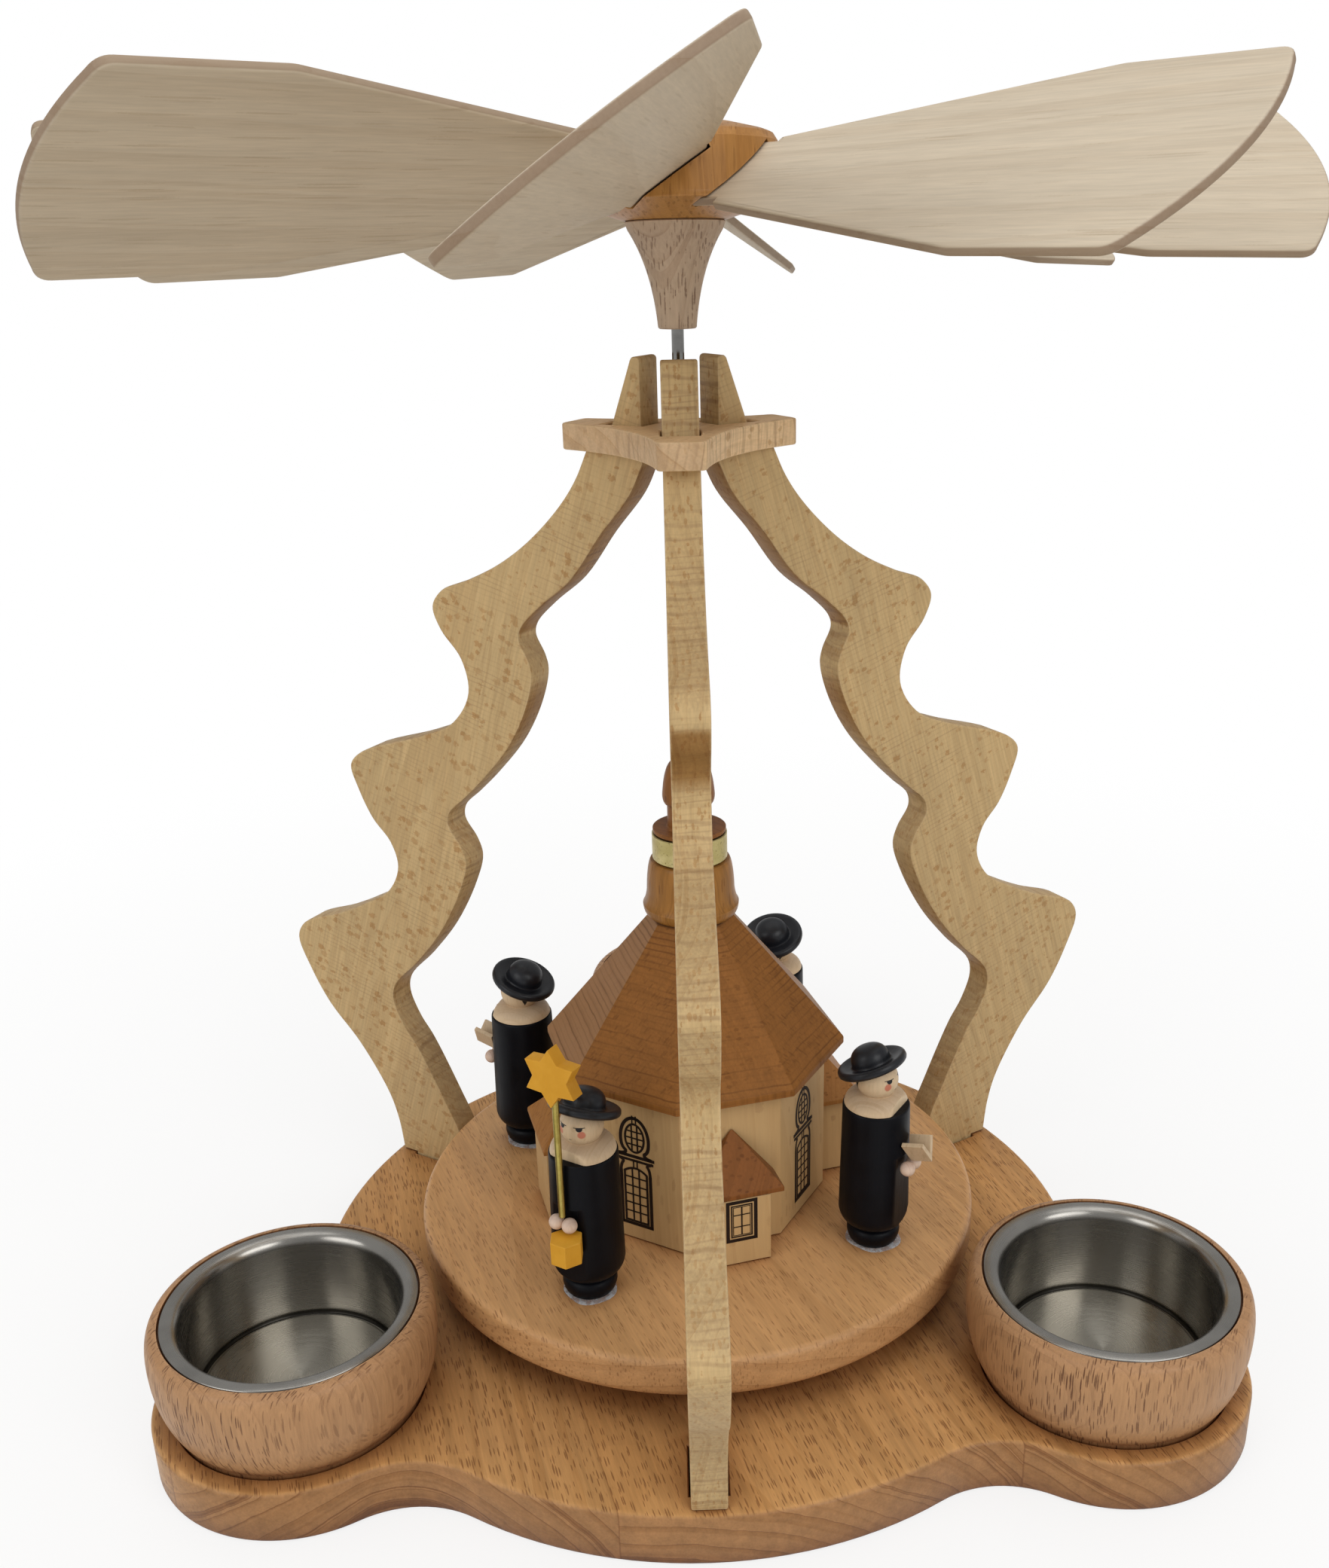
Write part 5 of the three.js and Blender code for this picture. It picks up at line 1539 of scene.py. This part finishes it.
def makeBlades(settings):
    board = boardMesh(bladeOutline(settings), settings["bladeThickness"], settings["edge"], 3, flatBand=0.4)
    data = bpy.data.meshes.new("oneBlade")
    board.normal_update()
    board.to_mesh(data)
    board.free()
    storeGrain(data, Matrix.Identity(4), True)
    for vertex in data.vertices:
        vertex.co = (vertex.co - Vector((0, 0, settings["bladeThickness"] / 2))) * mm
    data.shade_smooth()
    data.set_sharp_from_angle(angle=math.radians(32))
    one = bpy.data.objects.new("oneBlade", data)
    bpy.context.scene.collection.objects.link(one)
    angles = {key: math.radians(settings[key]) for key in ("first", "pitch", "droop", "lean")}
    blades = plainResult("blades", one, makeBladeTree(), count=settings["count"],
                         axisHeight=settings["axisHeight"] * mm, headHeight=settings["hubBottom"] * mm,
                         wood=bladeWood, **angles)
    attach(blades, "rotor")
    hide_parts(*[f"blade_{i + 1}" for i in range(settings["count"])])


makeRotor(rotorSettings)
makeBlades(rotorSettings)
print("rotor made")


# figures

figureSettings = {
    "directions": {"bearer": 239, "singer_right": 326.8, "singer_left": 153.8, "singer_back": 62.6},
    "radius": 42.3, "bottom": 25.6, "coatHeight": 31.5, "foot": 5, "footHeight": 5, "coat": 7.1,
    "shoulder": 6.6, "flat": 6, "flatHeight": 22, "head": 4.2, "headHeight": 37, "neck": 3.2,
    "neckHeight": 34, "collar": 6.35, "collarFlat": 5, "hatTilt": -22, "brim": 7, "brimHeight": 2,
    "brimThickness": 1.9, "crown": 3.9, "crownHeight": 3.2, "hand": 1.5, "handSpread": 1.45,
    "handHeight": 19.4, "handReach": 6.3, "reach": 7.9, "headEdge": -3.0,
}

blackPaint = paintMaterial("blackPaint", {
    "colour": "#07080d", "second": "#0b0d13", "specular": 0.12, "roughness": (0.36, 0.5), "bump": 0.3,
    "rubbed": 0.25, "rubbedColour": "#2a2c33", "rubbedWidth": 0.0004,
})
# painted sheen: the hats' black is painted lighter than the coats', standing in for the sheen of the light
# from above
hatSheenPaint = paintMaterial("hatSheenPaint", {
    "colour": "#121419", "second": "#191b21", "specular": 0.35, "roughness": (0.32, 0.45), "bump": 0.3,
    "rubbed": 0.2, "rubbedColour": "#34363d", "rubbedWidth": 0.0004,
})
paleWood = woodMaterial("paleWood", {
    "Light": "#cfb695", "Dark": "#c2a683", "Fleck": "#a68560", "ringWidth": 0.0022, "ringContrast": 0.3,
    "warp": 0.002, "fleckAmount": 0.5, "fleckStrength": 0.35, "fibre": 0.25, "seed": 51.0, "gloss": 0.5,
    "bump": 0.15, "rubbed": 0.3, "rubbedColour": "#dfcbaa", "rubbedWidth": 0.0002,
})
handWood = woodMaterial("handWood", {
    "Light": "#e2c8b4", "Dark": "#d6b8a1", "Fleck": "#b78a6b", "ringWidth": 0.002, "ringContrast": 0.3,
    "warp": 0.002, "fleckLength": 0.002, "fleckWidth": 0.0005, "fleckAmount": 0.4, "fleckStrength": 0.3,
    "fibre": 0.2, "seed": 53.0, "bump": 0.1,
})
yellowPaint = paintMaterial("yellowPaint", {
    "colour": "#e0a532", "second": "#d69a28", "specular": 0.3, "roughness": (0.5, 0.65), "bump": 0.4,
    "rubbed": 0.5, "rubbedColour": "#e8bf6a", "rubbedWidth": 0.00025,
})
rodBrass = metalMaterial("rodBrass", {
    "colour": "#b9a95e", "second": "#a99850", "lines": 6000, "cloud": 500, "speckScale": 3500,
    "speck": 0.5, "speckColour": "#7c6d35", "relief": 0.6, "roughness": (0.3, 0.45), "bump": 0.3,
})


faceSettings = {
    # degrees to the side of the nose and above the head's middle
    "cheek": (33, -1, 10.5), "cheekColour": "#c2604a", "cheekStrength": 0.8,
    "eye": (27, 17.5, 9.5), "lid": 18.5, "lidHalf": 16, "lidLine": (0.8, 1.4),
    "mouth": -19, "mouthHalf": 4, "mouthLine": (0.8, 1.5),
    "lock": 136, "lockTip": -33, "lockSpread": 0.42, "paint": "#17161a",
}


def roundMask(tree, x, y, place, soft):
    centreX, centreY, radius = place
    u = (x - centreX) / radius
    v = (y - centreY) / radius
    return step(tree, calc(tree, "SQRT", u * u + v * v), 1 - soft, 1 + soft, 1.0, 0.0)


def headMaterial(face):
    # pale turned wood with the painted doll face and hair
    material = woodMaterial("paintedHead", {
        "Light": "#d2b997", "Dark": "#c6ab87", "Fleck": "#a98a66", "ringWidth": 0.0022,
        "ringContrast": 0.3, "warp": 0.002, "fleckAmount": 0.5, "fleckStrength": 0.3, "fibre": 0.22,
        "seed": 57.0, "gloss": 0.48, "bump": 0.12,
    })
    tree = material.node_tree
    shader = tree.nodes["Principled BSDF"]
    wood = shader.inputs["Base Color"].links[0].from_socket
    where = tree.nodes.new("ShaderNodeAttribute")
    where.attribute_name = "face"
    azimuth, elevation, inHead = split(tree, where.outputs["Vector"])
    side = abs(azimuth)
    cheek = roundMask(tree, side, elevation, face["cheek"], 0.16) * face["cheekStrength"]
    colour = mixColour(tree, cheek, wood, linear(face["cheekColour"]))
    # half-round eyes that hang below a lid, and a short mouth
    eyeSide, eyeHeight = face["eye"][:2]
    pupil = roundMask(tree, side, elevation, face["eye"], 0.08)
    under = step(tree, elevation, eyeHeight - 0.3, eyeHeight + 0.3, 1.0, 0.0)
    lidLine = step(tree, abs(elevation - face["lid"]), *face["lidLine"], 1.0, 0.0)
    lid = lidLine * step(tree, abs(side - eyeSide), face["lidHalf"] - 0.5, face["lidHalf"] + 0.5, 1.0, 0.0)
    mouthLine = step(tree, abs(elevation - face["mouth"]), *face["mouthLine"], 1.0, 0.0)
    mouth = mouthLine * step(tree, side, face["mouthHalf"] - 0.5, face["mouthHalf"] + 0.5, 1.0, 0.0)
    # hair: a lock behind each ear that narrows to a point
    half = (elevation - face["lockTip"]) * face["lockSpread"]
    reach = abs(side - face["lock"])
    uneven = noise(tree, where.outputs["Vector"], 0.25) * 2.0
    hair = step(tree, reach + uneven - half, -0.8, 0.8, 1.0, 0.0)
    black = calc(tree, "MAXIMUM", calc(tree, "MAXIMUM", pupil * under, lid), mouth)
    black = calc(tree, "MAXIMUM", black, hair) * inHead
    feed(tree, shader.inputs["Base Color"], mixColour(tree, black, colour, linear(face["paint"])))
    return material


paintedHead = headMaterial(faceSettings)


def coatMesh(settings):
    # a boot-shaped foot, a waist above it and a coat that is cut flat at the front below the arms
    sole, coat, footHeight = settings["foot"], settings["coat"], settings["footHeight"]
    heel, foot, ankle = (sole - 0.7, 0), (sole + 0.35, 2.0), (sole - 0.35, 3.7)
    waist = (sole - 0.75, footHeight - 0.9)
    hem = (coat, footHeight + 2.3)
    top, shoulderRadius = settings["coatHeight"], settings["shoulder"]
    shoulder = (coat - 0.4, top - 3.5)
    flatHeight = settings["flatHeight"]
    profile = [(0, 0), heel, *bezier(heel, (sole, 0), foot, 4), *bezier(foot, (sole + 0.4, 3.3), ankle, 6),
               *bezier(ankle, (sole - 0.75, 3.8), waist, 3),
               *bezier(waist, (coat - 0.4, footHeight - 0.3), hem, 8)]
    wallSlope = (shoulder[0] - hem[0]) / (shoulder[1] - hem[1])
    for height in (12, 16, 19, flatHeight - 0.25, flatHeight, flatHeight + 0.35, 25):
        profile.append((hem[0] + wallSlope * (height - hem[1]), height))
    profile += [shoulder, (shoulderRadius + 0.05, top - 0.5), (shoulderRadius, top - 0.15),
                (shoulderRadius - 0.12, top), (0, top)]
    mesh = turnedMesh(profile, 64)
    for vertex in mesh.verts:
        if vertex.co.z <= flatHeight - 0.2:
            vertex.co.x = min(vertex.co.x, settings["flat"])
    return mesh


def headMesh(settings):
    bottom = settings["coatHeight"] + 0.02
    radius = settings["head"]
    height = settings["headHeight"]
    angle = math.asin(settings["neck"] / radius)
    neck = (settings["neck"], height - radius * math.cos(angle))
    collar = settings["collar"]
    profile = [(0, bottom), (collar - 0.15, bottom), (collar, bottom + 0.15),
               *bezier((collar, bottom + 0.15), (collar - 0.3, settings["neckHeight"] - 0.2), neck, 8)]
    profile += arcPoints(0, height, radius, angle - math.pi / 2, math.pi / 2, 24)[1:]
    profile.append((0, height + radius))
    mesh = turnedMesh(profile, 64)
    for vertex in mesh.verts:
        if vertex.co.z < settings["neckHeight"] - 0.4:
            vertex.co.x = min(vertex.co.x, settings["collarFlat"])
    return mesh


def hatMesh(settings):
    # a hollow for the head, a brim with a round rim, a groove round the crown and a domed top
    hollow = settings["head"] + seat
    low = settings["brimHeight"]
    start = math.asin(low / hollow)
    high = low + settings["brimThickness"]
    brim, crown, top = settings["brim"], settings["crown"], high + settings["crownHeight"]
    under, widest, over = (brim - 2.1, low - 0.05), (brim, high - 0.75), (brim - 0.75, high)
    groove = high - 0.55
    foot, side = (crown + 0.35, groove), (crown, groove + 0.5)
    inside = [(0, hollow), *arcPoints(0, 0, hollow, math.pi / 2, start, 8)[1:],
              (hollow * math.cos(start), low)]
    rim = [under, *bezier(under, (brim + 0.25, low + 0.1), widest, 7),
           *bezier(widest, (brim - 0.05, high), over, 5)]
    join = [*bezier(over, (crown + 1.0, groove + 0.1), foot, 5),
            *bezier(foot, (crown + 0.02, groove), side, 3)]
    return turnedMesh(inside + rim + join + bezier(side, (crown, top), (0, top), 16), 64)


def handsMesh(settings):
    radius = settings["hand"]
    ball = [(0, -radius), *arcPoints(0, 0, radius, -math.pi / 2, math.pi / 2, 16)[1:], (0, radius)]
    hands = bmesh.new()
    for side in (-1, 1):
        place = shift(settings["handReach"] + radius, side * settings["handSpread"], settings["handHeight"])
        addPart(hands, turnedMesh(ball, 24), place)
    return hands


def makeFigures(settings):
    for name, direction in settings["directions"].items():
        place = turnAbout(direction) @ shift(settings["radius"], 0, settings["bottom"])
        label = "".join(word.title() for word in name.split("_"))
        grain = shift(direction / 2, 0, 0) @ uprightGrain
        finishPiece("coat" + label, coatMesh(settings), blackPaint, "carousel",
                    [name + "_coat"], place, grain, sharp=38)
        head = finishPiece("head" + label, headMesh(settings), paintedHead, "carousel",
                           [name + "_head"], place, grain)
        face = head.data.attributes.new("face", "FLOAT_VECTOR", "POINT")
        back = place.inverted()
        centre = Vector((0, 0, settings["headHeight"]))
        for i, vertex in enumerate(head.data.vertices):
            local = back @ (vertex.co / mm) - centre
            flat = math.hypot(local.x, local.y)
            azimuth = 0.0 if flat < 1e-3 else math.degrees(math.atan2(local.y, local.x))
            onBall = 1.0 if local.z > settings["headEdge"] else 0.0
            face.data[i].vector = (azimuth, math.degrees(math.atan2(local.z, flat)), onBall)
        tilt = shift(0, 0, settings["headHeight"]) @ turnAbout(settings["hatTilt"], "Y")
        finishPiece("hat" + label, hatMesh(settings), hatSheenPaint, "carousel", [name + "_hat"],
                    place @ tilt, grain)
        finishPiece("hands" + label, handsMesh(settings), handWood, "carousel",
                    [name + "_hands"], place, grain)
        if name != "bearer":
            finishPiece("book" + label, shellCopy(name + "_book"), paleWood, "carousel",
                        [name + "_book"], grain=grain @ turnAbout(-direction), bevel=0.1)
    place = turnAbout(settings["directions"]["bearer"]) @ shift(settings["radius"], 0, settings["bottom"])
    back = uprightGrain @ place.inverted()
    low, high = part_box("star_rod")
    rod = [(0, 0), (0.5, 0), (0.65, 0.2), (0.65, (high.z - low.z) / mm), (0, (high.z - low.z) / mm)]
    finishPiece("starRod", turnedMesh(rod, 32), rodBrass, "carousel", ["star_rod"],
                place @ shift(settings["reach"], 0, low.z / mm - settings["bottom"]))
    finishPiece("yellowStar", shellCopy("star"), yellowPaint, "carousel", ["star"],
                grain=back, bevel=0.15)
    finishPiece("handLantern", shellCopy("hand_lantern"), yellowPaint, "carousel",
                ["hand_lantern"], grain=back, bevel=0.15)


glueSettings = {
    "inner": 4.4, "outer": 5.45, "thickness": 0.25, "lift": 0.02, "colour": "#e3e8ec", "second": "#c9ccd0",
    "swell": ((2, 0.05, 1.7), (5, 0.03, 1)),  # waves round the film: how many, how deep, turn per figure
}


def makeGlue(settings):
    # a thin film of glue has run out round each figure's foot
    material, tree, shader = newMaterial("dryGlue")
    cloud = noise(tree, pieceVector(tree), 700.0, 3.0)
    pale, dull = linear(settings["colour"]), linear(settings["second"])
    feed(tree, shader.inputs["Base Color"], mixColour(tree, cloud, pale, dull))
    feed(tree, shader.inputs["Roughness"], step(tree, cloud, 0.3, 0.7, 0.12, 0.3))
    feed(tree, shader.inputs["Alpha"], step(tree, cloud, 0.35, 0.65, 0.15, 0.5))
    whole = bmesh.new()
    for index, direction in enumerate(figureSettings["directions"].values()):
        inner, outer, thickness = settings["inner"], settings["outer"], settings["thickness"]
        film = turnedMesh([(inner, 0), (outer, 0), (outer - 0.05, 0.08), (outer - 0.3, thickness * 0.8),
                           (inner, thickness)], 64)
        for vertex in film.verts:
            angle = math.atan2(vertex.co.y, vertex.co.x)
            if math.hypot(vertex.co.x, vertex.co.y) > inner + 0.2:
                swell = 1 + sum(depth * math.sin(count * angle + index * turn)
                                for count, depth, turn in settings["swell"])
                vertex.co.x *= swell
                vertex.co.y *= swell
        addPart(whole, film, turnAbout(direction) @ shift(
            figureSettings["radius"], 0, sharedSizes["turntableTop"] + settings["lift"]))
    finishPiece("glueFilm", whole, material, "carousel")


makeFigures(figureSettings)
makeGlue(glueSettings)
print("figures made")


# floor, backdrop and light

studioSettings = {
    "floorSize": 3.0, "plain": 0.1, "fade": 0.4, "lift": 0.78, "floorColours": ("#f4f3f1", "#f1f0ee"),
    "world": 0.5, "bounce": "#dedbd5", "aim": (0, 0, 0.1),
    "key": {"place": (0.7, -0.9, 0.9), "size": 0.9, "power": 6.2},
    "fill": {"place": (-0.9, -0.8, 0.7), "size": 0.9, "power": 4.6},
    "top": {"place": (0.05, 0.15, 1.3), "size": 1.2, "power": 5.0},
}


def makeFloor(settings):
    size = settings["floorSize"]
    mesh = bpy.data.meshes.new("floor")
    mesh.from_pydata([(-size, -size, 0), (size, -size, 0), (size, size, 0), (-size, size, 0)], [],
                     [(0, 1, 2, 3)])
    floor = bpy.data.objects.new("floor", mesh)
    bpy.context.scene.collection.objects.link(floor)
    material, tree, shader = newMaterial("paleFloor")
    place = objectVector(tree)
    first, second = settings["floorColours"]
    pale = mixColour(tree, noise(tree, place, 900.0, 3.0), linear(first), linear(second))
    shader.inputs["Roughness"].default_value = 0.7
    shader.inputs["Specular IOR Level"].default_value = 0.1
    glow = tree.nodes.new("ShaderNodeEmission")
    glow.inputs["Strength"].default_value = 1.0
    away = vectorCalc(tree, "LENGTH", place)
    path = tree.nodes.new("ShaderNodeLightPath")
    seen = calc(tree, "MAXIMUM", path.outputs["Is Camera Ray"], path.outputs["Is Glossy Ray"])
    feed(tree, shader.inputs["Base Color"], mixColour(tree, seen, linear(settings["bounce"]), pale))
    # the floor shows nearly white all over, and only what the object keeps from it darkens it
    factor = step(tree, away, settings["plain"], settings["fade"], settings["lift"], 1.0) * seen
    mix = tree.nodes.new("ShaderNodeMixShader")
    feed(tree, mix.inputs[0], factor)
    tree.links.new(shader.outputs[0], mix.inputs[1])
    tree.links.new(glow.outputs[0], mix.inputs[2])
    tree.links.new(mix.outputs[0], tree.nodes["Material Output"].inputs["Surface"])
    mesh.materials.append(material)


def makeLights(settings):
    world = bpy.data.worlds.new("studio")
    bpy.context.scene.world = world
    world.use_nodes = True
    tree = world.node_tree
    background = tree.nodes["Background"]
    path = tree.nodes.new("ShaderNodeLightPath")
    direct = calc(tree, "MAXIMUM", path.outputs["Is Camera Ray"], path.outputs["Is Transmission Ray"])
    feed(tree, background.inputs["Color"], (1.0, 1.0, 1.0, 1.0))
    dim = settings["world"]
    feed(tree, background.inputs["Strength"], dim + direct * (1.0 - dim))
    for name in ("key", "fill", "top"):
        chosen = settings[name]
        lamp = bpy.data.lights.new(name + "Light", "AREA")
        lamp.shape = "DISK"
        lamp.size = chosen["size"]
        lamp.energy = chosen["power"]
        light = bpy.data.objects.new(name + "Light", lamp)
        bpy.context.scene.collection.objects.link(light)
        light.location = chosen["place"]
        aim = Vector(settings["aim"]) - Vector(chosen["place"])
        light.rotation_euler = aim.to_track_quat("-Z", "Y").to_euler()


makeFloor(studioSettings)
makeLights(studioSettings)
bpy.context.scene.view_settings.view_transform = "Standard"
print("studio set")
